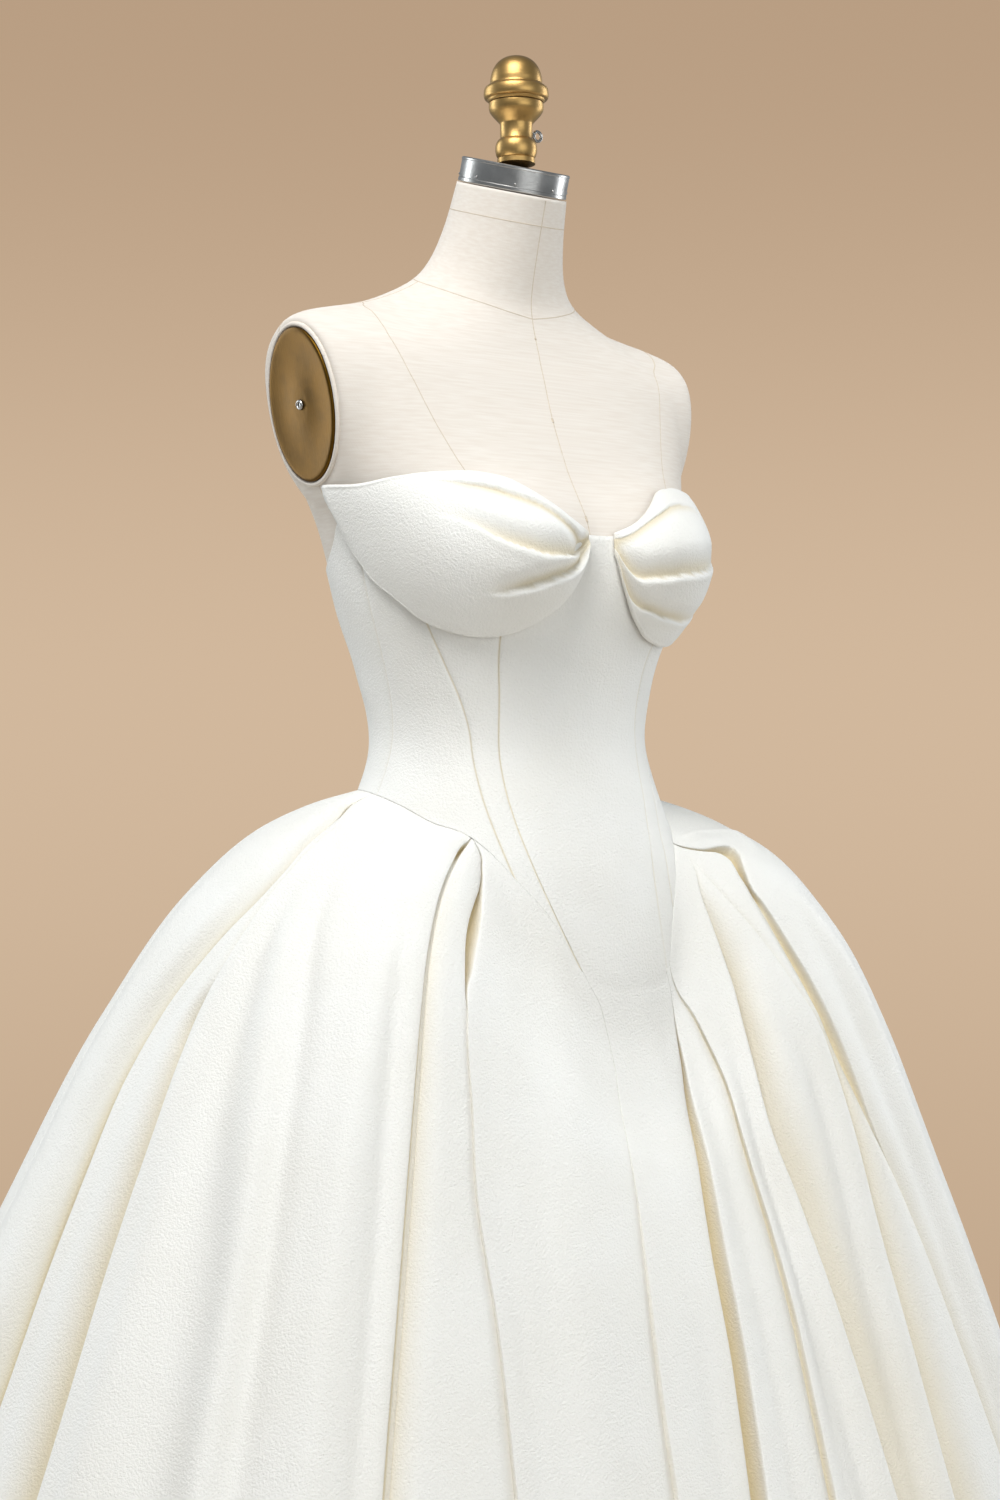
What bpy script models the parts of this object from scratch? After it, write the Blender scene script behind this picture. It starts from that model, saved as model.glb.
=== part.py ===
"""Strapless ball gown standing on a limbless dress form.

The gown is a set of cut panels: a boned bodice that fits the form, two pleated bust
drapes, a centre front panel that runs from neckline to hem, and a wide skirt whose
pleats spring from a pointed waist seam.  Every panel is a 2 mm wall of its own.
The form is a linen torso with a steel neck band, a turned brass finial, brass arm
plates and a round stand that hides under the skirt.

Metres, +Z up.  The origin is on the floor under the pole, the front faces -Y and
the wearer's left is +X.  Angles run round the body from the centre front, positive
towards the wearer's left.
"""

import math

import bpy
import numpy as np
from mathutils import Matrix, Vector

# ---------------------------------------------------------------- driving sizes
CLOTH = 0.0020            # thickness of a cloth wall
SEAM_GAP = 0.0004         # between two panels at a seam, and between touching pieces
WAIST_GAP = 0.0009        # between the bodice and the skirt
HEM_HEIGHT = 0.008        # hem above the floor
CUP_LIFT = 0.0034         # edge of a bust drape above the bodice
CUP_DOME = 0.0150         # fullness of a bust drape
CUP_CREASE = 0.0045       # depth of the creases in a bust drape
CUP_INNER = 3.5           # angle of a bust drape's inner end
CUP_OUTER = 89.0          # angle of its outer end

HEM_HALF_WIDTH = 0.730
HEM_FRONT = 0.520         # hem reach in front of its own centre
HEM_BACK = 0.670          # hem reach behind it
HEM_CENTRE_Y = 0.100      # the skirt trails behind the pole
HEM_SQUARE = 2.6          # squareness of the front half of the hem

ARM_PLATE_HEIGHT = 0.123
ARM_PLATE_WIDTH = 0.088
ARM_PLATE_THICK = 0.0030
ARM_CENTRE = (0.1847, 0.028, 1.345)   # centre of the flat armhole on the left side
ARM_LEAN = 0.17           # how far the armhole leans out for each metre up

NECK_RADIUS = 0.0455
NECK_BAND_HEIGHT = 0.0200
NECK_TILT = 17.0          # degrees, the neck is cut sloping to the front
NECK_CENTRE = (0.0, -0.0050, 1.5350)
FINIAL_Y = -0.0110
SCREW_HEIGHT = 1.5825
SCREW_RADIUS = 0.0017
SCREW_CLEARANCE = 0.0004
SCREW_BORE_DEPTH = 0.0110
SCREW_REACH = 0.0190      # the shank's outer end, from the finial's axis
SCREW_RING = 0.0040       # ring that the fingers turn, to the middle of its wire
SCREW_WIRE = 0.0013
STEM_NECK = 0.0134        # radius of the stem where the screw goes in
ARM_SCREW_RADIUS = 0.0042
ARM_SCREW_HEIGHT = 0.0018

POLE_RADIUS = 0.0140
FLANGE_RADIUS = 0.0600
FLANGE_THICK = 0.0060
BASE_RADIUS = 0.1900
BASE_HEIGHT = 0.0200
TORSO_BOTTOM = 0.800

# ------------------------------------------------------------ tables of the form
# height, half width, front depth, back depth, centre y, squareness, slope in degrees
TORSO = (
    (0.800, 0.178, 0.132, 0.132, 0.010, 2.10, 0.0),
    (0.880, 0.180, 0.138, 0.134, 0.008, 2.10, 0.0),
    (0.960, 0.163, 0.125, 0.121, 0.004, 2.10, 0.0),
    (1.020, 0.138, 0.106, 0.101, 0.000, 2.10, 0.0),
    (1.075, 0.121, 0.093, 0.089, 0.000, 2.10, 0.0),
    (1.130, 0.129, 0.098, 0.095, 0.003, 2.15, 0.0),
    (1.190, 0.146, 0.110, 0.103, 0.007, 2.20, 0.0),
    (1.245, 0.159, 0.117, 0.106, 0.012, 2.30, 0.0),
    (1.300, 0.176, 0.103, 0.104, 0.022, 2.60, 0.0),
    (1.345, 0.188, 0.091, 0.100, 0.030, 3.00, 1.0),
    (1.380, 0.195, 0.082, 0.092, 0.033, 3.00, 5.0),
    (1.402, 0.187, 0.074, 0.080, 0.032, 2.70, 9.0),
    (1.420, 0.150, 0.066, 0.067, 0.029, 2.30, 12.0),
    (1.437, 0.107, 0.058, 0.059, 0.025, 2.10, 15.0),
    (1.453, 0.076, 0.051, 0.052, 0.020, 2.00, 17.0),
    (1.472, 0.060, 0.048, 0.049, 0.014, 2.00, 17.0),
    (1.500, 0.051, 0.046, 0.047, 0.005, 2.00, 17.0),
    (1.5346, 0.0455, 0.0455, 0.0455, -0.005, 2.00, 17.0),
)
TORSO_ROWS = (0.800, 0.860, 0.920, 0.955, 0.985, 1.010, 1.035, 1.060, 1.085, 1.110,
              1.135, 1.160, 1.185, 1.205, 1.225, 1.245, 1.265, 1.285)
SHOULDER_ROWS = (8.35, 8.7, 9.0, 9.3, 9.6, 10.0, 10.4, 10.8, 11.2, 11.6, 12.0,
                 13.0, 14.0, 15.0, 16.0, 17.0)
UNDER_BODICE = 0.0008     # the torso is this much slimmer where the bodice covers it
UNDER_BUST = 0.0022       # and this much more under the bust drapes
UNDER_HIP = 0.0020        # and this much more under the point of the waist seam
BUST = {"x": 0.082, "z": 1.222, "width": 0.062, "height": 0.050, "depth": 0.032}

# angle from the centre front in degrees, height of the waist seam; its point is
# blunt and reaches further round on the left
WAIST_SEAM = (
    (-180, 1.037), (-130, 1.037), (-92, 1.035), (-72, 1.025), (-58, 1.013), (-44, 1.003),
    (-35, 0.988), (-27, 0.968), (-17, 0.938), (-8, 0.895), (0, 0.880), (10, 0.880),
    (20, 0.889), (25, 0.921), (31, 0.951), (37, 0.972), (46, 0.994), (58, 1.011),
    (72, 1.025), (92, 1.035), (130, 1.037), (180, 1.037),
)
# angle, height of the bodice's top edge (hidden by the drapes in front)
NECKLINE = (
    (0, 1.241), (4, 1.241), (10, 1.248), (16, 1.262), (21, 1.274), (28, 1.281),
    (40, 1.282), (57, 1.279), (73, 1.274), (86, 1.260), (94, 1.238), (104, 1.223),
    (120, 1.214), (150, 1.208), (180, 1.205),
)
# height, angle of each bodice seam in degrees
SEAMS = {
    "princess_right": ((0.895, 8), (0.916, 11.5), (0.938, 15), (0.980, 22), (1.015, 28),
                       (1.042, 32), (1.063, 34), (1.122, 33), (1.162, 33), (1.282, 30)),
    "princess_left": ((0.889, 20), (0.916, 20), (0.948, 20.5), (0.980, 22), (1.015, 27),
                      (1.042, 31), (1.063, 33.5), (1.122, 33), (1.162, 33), (1.282, 30)),
    "side_front_right": ((0.966, 27), (0.997, 33), (1.016, 37), (1.037, 41), (1.063, 45),
                         (1.089, 47), (1.113, 50), (1.140, 55), (1.172, 61), (1.282, 68)),
    "side_front_left": ((0.945, 29), (0.966, 30), (0.997, 34), (1.037, 41), (1.063, 45),
                        (1.089, 47), (1.113, 50), (1.140, 55), (1.172, 61), (1.282, 68)),
    "side": ((1.030, 90), (1.074, 87), (1.104, 85), (1.214, 84), (1.280, 84)),
    "side_back": ((1.030, 132), (1.075, 130), (1.210, 124)),
}
# panel, the seams it lies between, where its columns lie between them
BODICE_PANELS = (
    ("bodice_front", "princess", "side_front", (0.0, 0.25, 0.5, 0.75, 1.0)),
    ("bodice_side_front", "side_front", "side", (0.0, 0.08, 0.17, 0.27, 0.42, 0.61, 0.8, 1.0)),
    ("bodice_side_back", "side", "side_back", (0.0, 0.25, 0.5, 0.75, 1.0)),
    ("bodice_back", "side_back", "back", (0.0, 0.2, 0.4, 0.6, 0.8, 1.0)),
)
# angle, height of the top and bottom edge of a bust drape
CUP_TOP = (
    (3.5, 1.2425), (10, 1.252), (16, 1.266), (21, 1.279), (28, 1.285), (40, 1.286),
    (57, 1.283), (73, 1.279), (89, 1.281),
)
CUP_BOTTOM = (
    (3.5, 1.230), (7, 1.213), (12, 1.193), (20, 1.175), (30, 1.163), (43, 1.160),
    (52, 1.164), (61, 1.172), (70, 1.188), (82, 1.215), (87, 1.240), (89, 1.262),
)
# share of the drape's height at its inner end, a third along and two thirds along
CUP_FOLDS = ((0.74, 0.86, 0.90), (0.50, 0.54, 0.66), (0.24, 0.19, 0.26))

# share of the way down, then how far out and down the skirt has come, sides and front
SKIRT_PROFILE = (
    (0.00, 0.000, 0.000, 0.000, 0.000),
    (0.06, 0.115, 0.027, 0.115, 0.070),
    (0.13, 0.215, 0.083, 0.205, 0.145),
    (0.22, 0.315, 0.178, 0.305, 0.240),
    (0.35, 0.430, 0.315, 0.425, 0.375),
    (0.60, 0.640, 0.590, 0.650, 0.620),
    (1.00, 1.000, 1.000, 1.000, 1.000),
)
# the skirt billows out on the left front: way down, reach in mm
BILLOW = {
    "angle": 64.0, "spread": 28.0,
    "reach": ((0.0, 0.0), (0.05, 22.0), (0.13, 34.0), (0.3, 35.0), (0.5, 31.0), (1.0, 20.0)),
}
# The pleats: where a valley runs and how deep and how round it is.
# name, angle at the seam and at 6, 20, 45 and 100 % of the way down,
# where it starts, depth near the top, half way and at the hem in mm,
# width of the roll on its right and on its left side in mm
FOLD_STATIONS = (0.0, 0.06, 0.20, 0.45, 1.0)
FOLDS = (
    ("back_seam_right", -180.0, -180.0, -180, -180, -180, 0.00, 20, 30, 34, 34, 34),
    ("back_right_4", -160, -161, -161, -162, -163, 0.00, 16, 26, 34, 30, 30),
    ("back_right_3", -142, -143, -144, -145, -146, 0.00, 20, 34, 40, 26, 34),
    ("back_right_2", -125, -126, -127, -128, -129, 0.02, 14, 26, 34, 30, 30),
    ("back_right_1", -108, -108, -109, -110, -111, 0.00, 18, 32, 38, 26, 32),
    ("side_right", -92, -82, -90, -87, -86, 0.00, 18, 32, 36, 34, 20),
    ("dimple_right", -78, -73, -82, -79, -77, 0.15, 10, 16, 20, 26, 22),
    ("soft_right", -68, -68, -64, -59, -57, 0.08, 4, 8, 12, 50, 60),
    ("waist_right_outer", -45, -47, -46, -44, -43, 0.00, 20, 34, 38, 20, 18),
    ("waist_right_inner", -43.5, -37, -37, -30, -26, 0.00, 18, 7, 10, 20, 24),
    ("gore_right", -8, -5, -6, -8, -10, 0.00, 2, 4, 6, 26, 26),
    ("gore_left", 20, 11.5, 6.5, 5, 4, 0.00, 14, 32, 38, 40, 18),
    ("waist_left_inner", 23.5, 21, 21, 18, 17, 0.01, 10, 22, 28, 26, 16),
    ("waist_left_mid", 40, 31, 25.5, 27, 27, 0.02, 14, 26, 32, 26, 18),
    ("dimple_left", 43, 41.5, 38, 36, 35, 0.16, 10, 20, 26, 22, 18),
    ("waist_left_outer", 46, 46, 41.5, 41.3, 41, 0.00, 20, 34, 38, 24, 22),
    ("soft_left", 57, 52, 45, 46, 48, 0.14, 5, 9, 14, 20, 40),
    ("side_left_front", 68, 66, 64, 63, 62, 0.03, 14, 24, 32, 30, 28),
    ("side_left", 92, 91, 90, 89, 88, 0.00, 18, 32, 36, 28, 28),
    ("back_left_1", 109, 109, 109, 110, 111, 0.02, 16, 28, 36, 32, 26),
    ("back_left_2", 127, 127, 128, 129, 130, 0.00, 20, 34, 40, 30, 28),
    ("back_left_3", 145, 145, 146, 147, 147, 0.02, 14, 26, 34, 30, 30),
    ("back_left_4", 162, 162, 162, 163, 164, 0.00, 18, 30, 38, 30, 30),
    ("back_seam_left", 180.0, 180.0, 180, 180, 180, 0.00, 20, 30, 34, 34, 34),
)
SKIRT_PANELS = (
    ("skirt_back_right", "back_seam_right", "side_right"),
    ("skirt_front_right", "side_right", "gore_right"),
    ("skirt_front_left", "gore_left", "side_left"),
    ("skirt_back_left", "side_left", "back_seam_left"),
)
VALLEY_FLOOR = 0.0015     # half the width of a valley's floor
ROLL_OPENS = 1.2          # a roll is this much wider at the hem than at the seam
SKIRT_ROWS = (0.0, 0.025, 0.055, 0.095, 0.14, 0.20, 0.27, 0.36, 0.47, 0.60, 0.80, 1.0)
BODICE_ROWS = tuple(number / 15 for number in range(16))
CUP_COLUMNS = 13
CUP_ROWS = 13
PLATEAU_STEP = 0.070      # widest stretch between columns on the flat of a fold

# height, radius of the turned finial, from the top down
KNOB_PROFILE = (
    (1.6455, 0.0), (1.6450, 0.0060), (1.6425, 0.0120), (1.6375, 0.0170),
    (1.6300, 0.0205), (1.6230, 0.0216), (1.6205, 0.0222), (1.6195, 0.0250),
    (1.6170, 0.0266), (1.6130, 0.0270), (1.6095, 0.0260), (1.6080, 0.0238),
    (1.6068, 0.0225), (1.6068, 0.0),
)
STEM_PROFILE = (
    (1.6064, 0.0), (1.6064, 0.0224), (1.6030, 0.0228), (1.5985, 0.0218),
    (1.5940, 0.0188), (1.5905, 0.0150), (1.5890, STEM_NECK), (1.5765, STEM_NECK),
    (1.5755, 0.0150), (1.5725, 0.0168), (1.5680, 0.0174), (1.5630, 0.0168),
    (1.5600, 0.0158), (1.5450, 0.0158), (1.5450, 0.0),
)

COLOURS = {
    "satin": ((0.80, 0.79, 0.75), 0.45, 0.0),
    "linen": ((0.74, 0.68, 0.58), 0.85, 0.0),
    "brass": ((0.45, 0.33, 0.15), 0.38, 1.0),
    "steel": ((0.55, 0.55, 0.54), 0.30, 1.0),
    "iron": ((0.08, 0.08, 0.08), 0.45, 0.6),
}


# ------------------------------------------------------------------ small maths
def through(rows, column, at):
    """Smooth curve through one column of a table, with the first column as its axis."""
    table = np.asarray(rows, float)
    axis = table[:, 0]
    values = table[:, column]
    gaps = np.diff(axis)
    rises = np.diff(values) / gaps
    slopes = np.empty_like(values)
    slopes[0] = rises[0]
    slopes[-1] = rises[-1]
    slopes[1:-1] = (rises[:-1] * gaps[1:] + rises[1:] * gaps[:-1]) / (gaps[1:] + gaps[:-1])
    at = np.clip(np.asarray(at, float), axis[0], axis[-1])
    k = np.clip(np.searchsorted(axis, at, side="right") - 1, 0, len(axis) - 2)
    s = (at - axis[k]) / gaps[k]
    start = (1 + 2 * s) * (1 - s) ** 2 * values[k] + s * (1 - s) ** 2 * gaps[k] * slopes[k]
    end = s * s * (3 - 2 * s) * values[k + 1] + s * s * (s - 1) * gaps[k] * slopes[k + 1]
    return start + end


def step(low, high, value):
    """0 below low, 1 above high, with a soft rise between them."""
    share = np.clip((value - low) / (high - low), 0, 1)
    return share * share * (3 - 2 * share)


def signed_power(value, power):
    return np.sign(value) * np.abs(value) ** power


# ------------------------------------------------------------------ body surface
TORSO_BY_ROW = tuple((row,) + values for row, values in enumerate(TORSO))
FINE_ROWS = np.linspace(0, len(TORSO) - 1, 600)
FINE_HEIGHTS = through(TORSO_BY_ROW, 1, FINE_ROWS)


def torso_section(level):
    """Height, half width, front, back, centre, squareness and slope at a table row."""
    return [through(TORSO_BY_ROW, column, level) for column in range(1, 8)]


def torso_points(angle, level, ease=0.0):
    """Points of the form's skin, or of cloth that lies a little outside it."""
    height, width, front, back, centre, square, slope = torso_section(level)
    sine = np.sin(angle)
    cosine = np.cos(angle)
    x = (width + ease) * signed_power(sine, 2 / square)
    depth = np.where(cosine > 0, front, back) + ease
    y = centre - depth * signed_power(cosine, 2 / square)
    swell = np.exp(
        -(((np.abs(x) - BUST["x"]) / BUST["width"]) ** 2)
        - ((height - BUST["z"]) / BUST["height"]) ** 2
    )
    y = y - BUST["depth"] * swell * np.clip(cosine * 2, 0, 1)
    z = height + np.tan(np.radians(slope)) * (y - centre)
    return np.stack([x, y, z + 0 * x], -1)


def bodice_ease(height):
    """The bodice hugs the waist and lies a little looser over the bust."""
    return 0.0027 + 0.0010 * step(1.10, 1.17, height)


def bodice_points(angle, height):
    level = np.interp(height, FINE_HEIGHTS, FINE_ROWS)
    return torso_points(angle, level, bodice_ease(height))


def bodice_down(angle, drop):
    """The bodice surface with its second parameter pointing down."""
    return bodice_points(angle, -drop)


def waist_height(angle):
    return through(WAIST_SEAM, 1, np.degrees(angle))


def neckline_height(angle):
    return through(NECKLINE, 1, np.abs(np.degrees(angle)))


# ----------------------------------------------------------------- skirt surface
def skirt_base(angle, way):
    """The skirt without its pleats: from the waist seam out and down to the hem."""
    waist = bodice_points(angle, waist_height(angle))
    sine = np.abs(np.sin(angle))
    cosine = np.cos(angle)
    front = step(-0.3, 0.3, cosine)
    square = 2 + (HEM_SQUARE - 2) * front
    reach = HEM_BACK + (HEM_FRONT - HEM_BACK) * front
    outline = (sine / HEM_HALF_WIDTH) ** square + (np.abs(cosine) / reach) ** square
    radius = outline ** (-1 / square)
    side = step(math.radians(20), math.radians(52), np.abs(angle))
    out_side, down_side, out_front, down_front = [
        through(SKIRT_PROFILE, column, way) for column in (1, 2, 3, 4)
    ]
    out = out_front + (out_side - out_front) * side
    down = down_front + (down_side - down_front) * side
    near = np.exp(-(((np.degrees(angle) - BILLOW["angle"]) / BILLOW["spread"]) ** 2))
    billow = near * through(BILLOW["reach"], 1, way) * 0.001
    x = waist[..., 0] + (radius * np.sin(angle) - waist[..., 0]) * out + billow * np.sin(angle)
    y = waist[..., 1] + (HEM_CENTRE_Y - radius * cosine - waist[..., 1]) * out - billow * cosine
    z = waist[..., 2] + (HEM_HEIGHT - waist[..., 2]) * down
    return np.stack([x, y, z], -1)


def skirt_frame(angle, way):
    """Base point, its sideways scale in metres for each radian, and its outward normal."""
    small = 0.004
    point = skirt_base(angle, way)
    across = (skirt_base(angle + small, way) - skirt_base(angle - small, way)) / (2 * small)
    upper = np.clip(way - small, 0, 1)
    lower = np.clip(way + small, 0, 1)
    along = (skirt_base(angle, lower) - skirt_base(angle, upper)) / (lower - upper)[..., None]
    normal = np.cross(along, across)
    normal[..., 2] *= 1 - step(0.10, 0.60, way)
    normal /= np.linalg.norm(normal, axis=-1, keepdims=True)
    return point, np.linalg.norm(across, axis=-1), normal


def fold_angle(fold, way):
    rows = tuple(zip(FOLD_STATIONS, fold[1:6]))
    return np.radians(through(rows, 1, way))


def fold_depth(fold, way):
    start, top, middle, hem = fold[6:10]
    rows = ((start, 0.0), (start + 0.07, top), (0.45, middle), (1.0, hem))
    return through(rows, 1, way) * 0.001


def roll_widths(number, way, scale):
    """Widths of the two rolls beside a valley, held within half the way to the next one."""
    fold = FOLDS[number]
    here = fold_angle(fold, way)
    widths = []
    for side, column in ((-1, 10), (1, 11)):
        other = number + side
        room = 1.0
        if 0 <= other < len(FOLDS):
            room = np.abs(fold_angle(FOLDS[other], way) - here) * scale
        opened = fold[column] * 0.001 * (1 + ROLL_OPENS * way)
        widths.append(np.minimum(opened, 0.44 * room))
    return widths


def roll(share):
    """A quarter round: 1 in the valley, 0 from the top of the roll outwards."""
    inner = 1 - np.clip(share, 0, 1)
    return 1 - np.sqrt(np.clip(1 - inner * inner, 0, 1))


def skirt_points(angle, way):
    point, scale, normal = skirt_frame(angle, way)
    sink = np.zeros_like(way)
    for number, fold in enumerate(FOLDS):
        aside = (angle - fold_angle(fold, way)) * scale
        left, right = roll_widths(number, way, scale)
        width = np.where(aside < 0, left, right)
        floor = np.minimum(VALLEY_FLOOR, 0.1 * width)
        share = (np.abs(aside) - floor) / np.maximum(width - floor, 1e-6)
        sink = sink + fold_depth(fold, way) * roll(share)
    return point - normal * sink[..., None]


# ------------------------------------------------------------------- scene set-up
def clear_scene():
    for item in list(bpy.data.objects):
        bpy.data.objects.remove(item, do_unlink=True)


def make_collection(name):
    collection = bpy.data.collections.new(name)
    bpy.context.scene.collection.children.link(collection)
    return collection


def make_material(node, finish):
    colour, roughness, metallic = COLOURS[finish]
    material = bpy.data.materials.new(node)
    material.use_nodes = True
    shader = material.node_tree.nodes["Principled BSDF"]
    shader.inputs["Base Color"].default_value = (*colour, 1.0)
    shader.inputs["Roughness"].default_value = roughness
    shader.inputs["Metallic"].default_value = metallic
    return material


def place(item, collection, finish, sharp=40.0):
    """Puts a new object in its collection, with its material and smooth shading."""
    for old in list(item.users_collection):
        old.objects.unlink(item)
    collection.objects.link(item)
    item.data.name = item.name
    item.data.materials.clear()
    item.data.materials.append(make_material(item.name, finish))
    item.data.shade_smooth()
    item.data.set_sharp_from_angle(angle=math.radians(sharp))
    return item


def mesh_object(name, points, faces):
    mesh = bpy.data.meshes.new(name)
    mesh.from_pydata([tuple(point) for point in points], [], faces)
    mesh.update()
    return bpy.data.objects.new(name, mesh)


def surface_normals(surface, angle, other):
    """Outward normals of a surface, the same on both sides of a seam."""
    small = 0.0015
    across = surface(angle + small, other) - surface(angle - small, other)
    down = surface(angle, other + small) - surface(angle, other - small)
    normal = np.cross(down, across)
    return normal / np.linalg.norm(normal, axis=-1, keepdims=True)


def cloth_panel(name, outer, normal, collection):
    """A closed wall of cloth between two grids of points.

    Rows run down and columns run to the wearer's left.  The inner face lies one
    cloth thickness behind the outer face along normals that neighbouring panels
    share, so that their edges stay parallel at the seam.
    """
    rows, columns = outer.shape[:2]
    inner = outer - CLOTH * normal
    count = rows * columns
    faces = []
    for r in range(rows - 1):
        for c in range(columns - 1):
            a = r * columns + c
            b = a + columns
            faces.append((a, b, b + 1, a + 1))
            faces.append((count + a, count + a + 1, count + b + 1, count + b))
    border = [c for c in range(columns)]
    border += [r * columns + columns - 1 for r in range(1, rows)]
    border += [(rows - 1) * columns + c for c in range(columns - 2, -1, -1)]
    border += [r * columns for r in range(rows - 2, 0, -1)]
    for here, following in zip(border, border[1:] + border[:1]):
        faces.append((here, following, count + following, count + here))
    points = np.concatenate([outer.reshape(-1, 3), inner.reshape(-1, 3)])
    return place(mesh_object(name, points, faces), collection, "satin", 60.0)


# ------------------------------------------------------------------- gown pieces
def seam_angle(name, side, height):
    if name == "back":
        return side * math.pi + 0.0 * height
    handed = f"{name}_{'left' if side > 0 else 'right'}"
    return side * np.radians(through(SEAMS.get(handed, SEAMS.get(name)), 1, height))


def bodice_grid(left, right, shares):
    """Grid of a bodice panel.  Each edge is a pair: seam name and side (-1 or 1)."""
    across, down = np.meshgrid(shares, BODICE_ROWS)
    height = 1.25 - 0.25 * down
    for _ in range(60):
        start = seam_angle(*left, height)
        end = seam_angle(*right, height)
        angle = start + (end - start) * across
        top = neckline_height(angle)
        goal = top + (waist_height(angle) - top) * down
        height = 0.5 * height + 0.5 * goal
    trim = 0.5 * SEAM_GAP / 0.10
    angle = angle + trim * (1 - 2 * across)
    height = height + WAIST_GAP * step(0.9, 1.0, down)
    return angle, height


def build_bodice(collection):
    for side, label in ((-1, "right"), (1, "left")):
        for name, near, far, shares in BODICE_PANELS:
            pair = [(near, side), (far, side)]
            shares = np.array(shares)
            if side < 0:
                pair.reverse()
                shares = 1 - shares[::-1]
            angle, height = bodice_grid(pair[0], pair[1], shares)
            outer = bodice_points(angle, height)
            normal = surface_normals(bodice_down, angle, -height)
            cloth_panel(f"{name}_{label}", outer, normal, collection)


def fold_named(name):
    return [fold[0] for fold in FOLDS].index(name)


def stretch_columns(number, way, fewest):
    """Column angles between one valley and the next, at every row of the skirt."""
    start = fold_angle(FOLDS[number], way)
    end = fold_angle(FOLDS[number + 1], way)
    scale = skirt_frame(0.5 * (start + end), way)[1]
    room = (end - start) * scale
    roll_start = roll_widths(number, way, scale)[1]
    roll_end = roll_widths(number + 1, way, scale)[0]
    floor_start = np.minimum(VALLEY_FLOOR, 0.1 * roll_start)
    floor_end = np.minimum(VALLEY_FLOOR, 0.1 * roll_end)
    flat = room - roll_start - roll_end
    middle = max(fewest, round(float(flat.max()) * 0.6 / PLATEAU_STEP))
    places = [floor_start, floor_start + 0.25 * roll_start]
    for count in range(middle):
        places.append(roll_start + flat * (count + 0.5) / middle)
    places += [room - floor_end - 0.25 * roll_end, room - floor_end]
    return [start + distance / scale for distance in places]


def panel_columns(first, last, way, fewest=1):
    """All column angles of a skirt panel, from the valley first to the valley last."""
    scale_first = skirt_frame(fold_angle(FOLDS[first], way), way)[1]
    scale_last = skirt_frame(fold_angle(FOLDS[last], way), way)[1]
    columns = [fold_angle(FOLDS[first], way) + 0.5 * SEAM_GAP / scale_first]
    for number in range(first, last):
        columns += stretch_columns(number, way, fewest)
    columns.append(fold_angle(FOLDS[last], way) - 0.5 * SEAM_GAP / scale_last)
    return np.stack(columns, -1)


def build_skirt(collection):
    way = np.array(SKIRT_ROWS)
    for name, first, last in SKIRT_PANELS:
        angle = panel_columns(fold_named(first), fold_named(last), way)
        down = np.repeat(way[:, None], angle.shape[1], axis=1)
        normal = surface_normals(skirt_points, angle, down)
        cloth_panel(name, skirt_points(angle, down), normal, collection)


def build_centre_panel(collection):
    """The one panel that runs from the neckline between the drapes down to the hem."""
    way = np.array(SKIRT_ROWS)
    gore = panel_columns(fold_named("gore_right"), fold_named("gore_left"), way, 5)
    skirt_down = np.repeat(way[:, None], gore.shape[1], axis=1)
    shares = np.linspace(0, 1, gore.shape[1])
    angle, _ = bodice_grid(("princess", -1), ("princess", 1), shares)
    rows = np.array(BODICE_ROWS)[:, None]
    even = (angle - angle[:, :1]) / (angle[:, -1:] - angle[:, :1])
    waist = (gore[0] - gore[0, 0]) / (gore[0, -1] - gore[0, 0])
    share = even + (waist[None, :] - even) * step(0.35, 1.0, rows)
    angle = angle[:, :1] + (angle[:, -1:] - angle[:, :1]) * share
    top = neckline_height(angle)
    height = top + (waist_height(angle) - top) * rows
    outer = (bodice_points(angle, height)[:-1], skirt_points(gore, skirt_down))
    normal = (surface_normals(bodice_down, angle, -height),
              surface_normals(skirt_points, gore, skirt_down)[1:])
    cloth_panel("front_centre_panel", np.concatenate(outer), np.concatenate(normal), collection)


def cup_points(side, along, up):
    """Bust drape: a domed petal, pinched at the centre, with creases that fade outwards."""
    along = np.clip(along, 0, 1)
    degrees = CUP_INNER + (CUP_OUTER - CUP_INNER) * along ** 1.15
    low = through(CUP_BOTTOM, 1, degrees)
    high = through(CUP_TOP, 1, degrees)
    height = low + (high - low) * up
    angle = side * np.radians(degrees)
    normal = surface_normals(bodice_down, angle, -height)
    swell = np.clip(4 * up * (1 - up), 0, 1) ** 0.45
    swell = swell * step(0.0, 0.22, along) * (1 - 0.75 * step(0.55, 1.0, along))
    lift = CUP_LIFT + CUP_DOME * swell
    for inner, third, outer in CUP_FOLDS:
        line = through(((0.0, inner), (0.33, third), (0.66, outer), (1.0, outer)), 1, along)
        fade = step(0.02, 0.15, along) * (1 - step(0.35, 0.70, along))
        crease = np.exp(-np.abs(up - line) / 0.07)
        lift = lift - CUP_CREASE * fade * crease * swell
    return bodice_points(angle, height) + normal * lift[..., None]


def grid_normals(grid):
    """Outward normals of a grid whose rows run down and columns to the left side."""
    normal = np.cross(np.gradient(grid, axis=0), np.gradient(grid, axis=1))
    return normal / np.linalg.norm(normal, axis=-1, keepdims=True)


def build_cups(collection):
    for side, label in ((-1, "right"), (1, "left")):
        along, up = np.meshgrid(np.linspace(0, 1, CUP_COLUMNS), np.linspace(1, 0, CUP_ROWS))
        grid = cup_points(side, along, up)
        if side < 0:
            grid = grid[:, ::-1]
        cloth_panel(f"bust_drape_{label}", grid, grid_normals(grid), collection)


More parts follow.
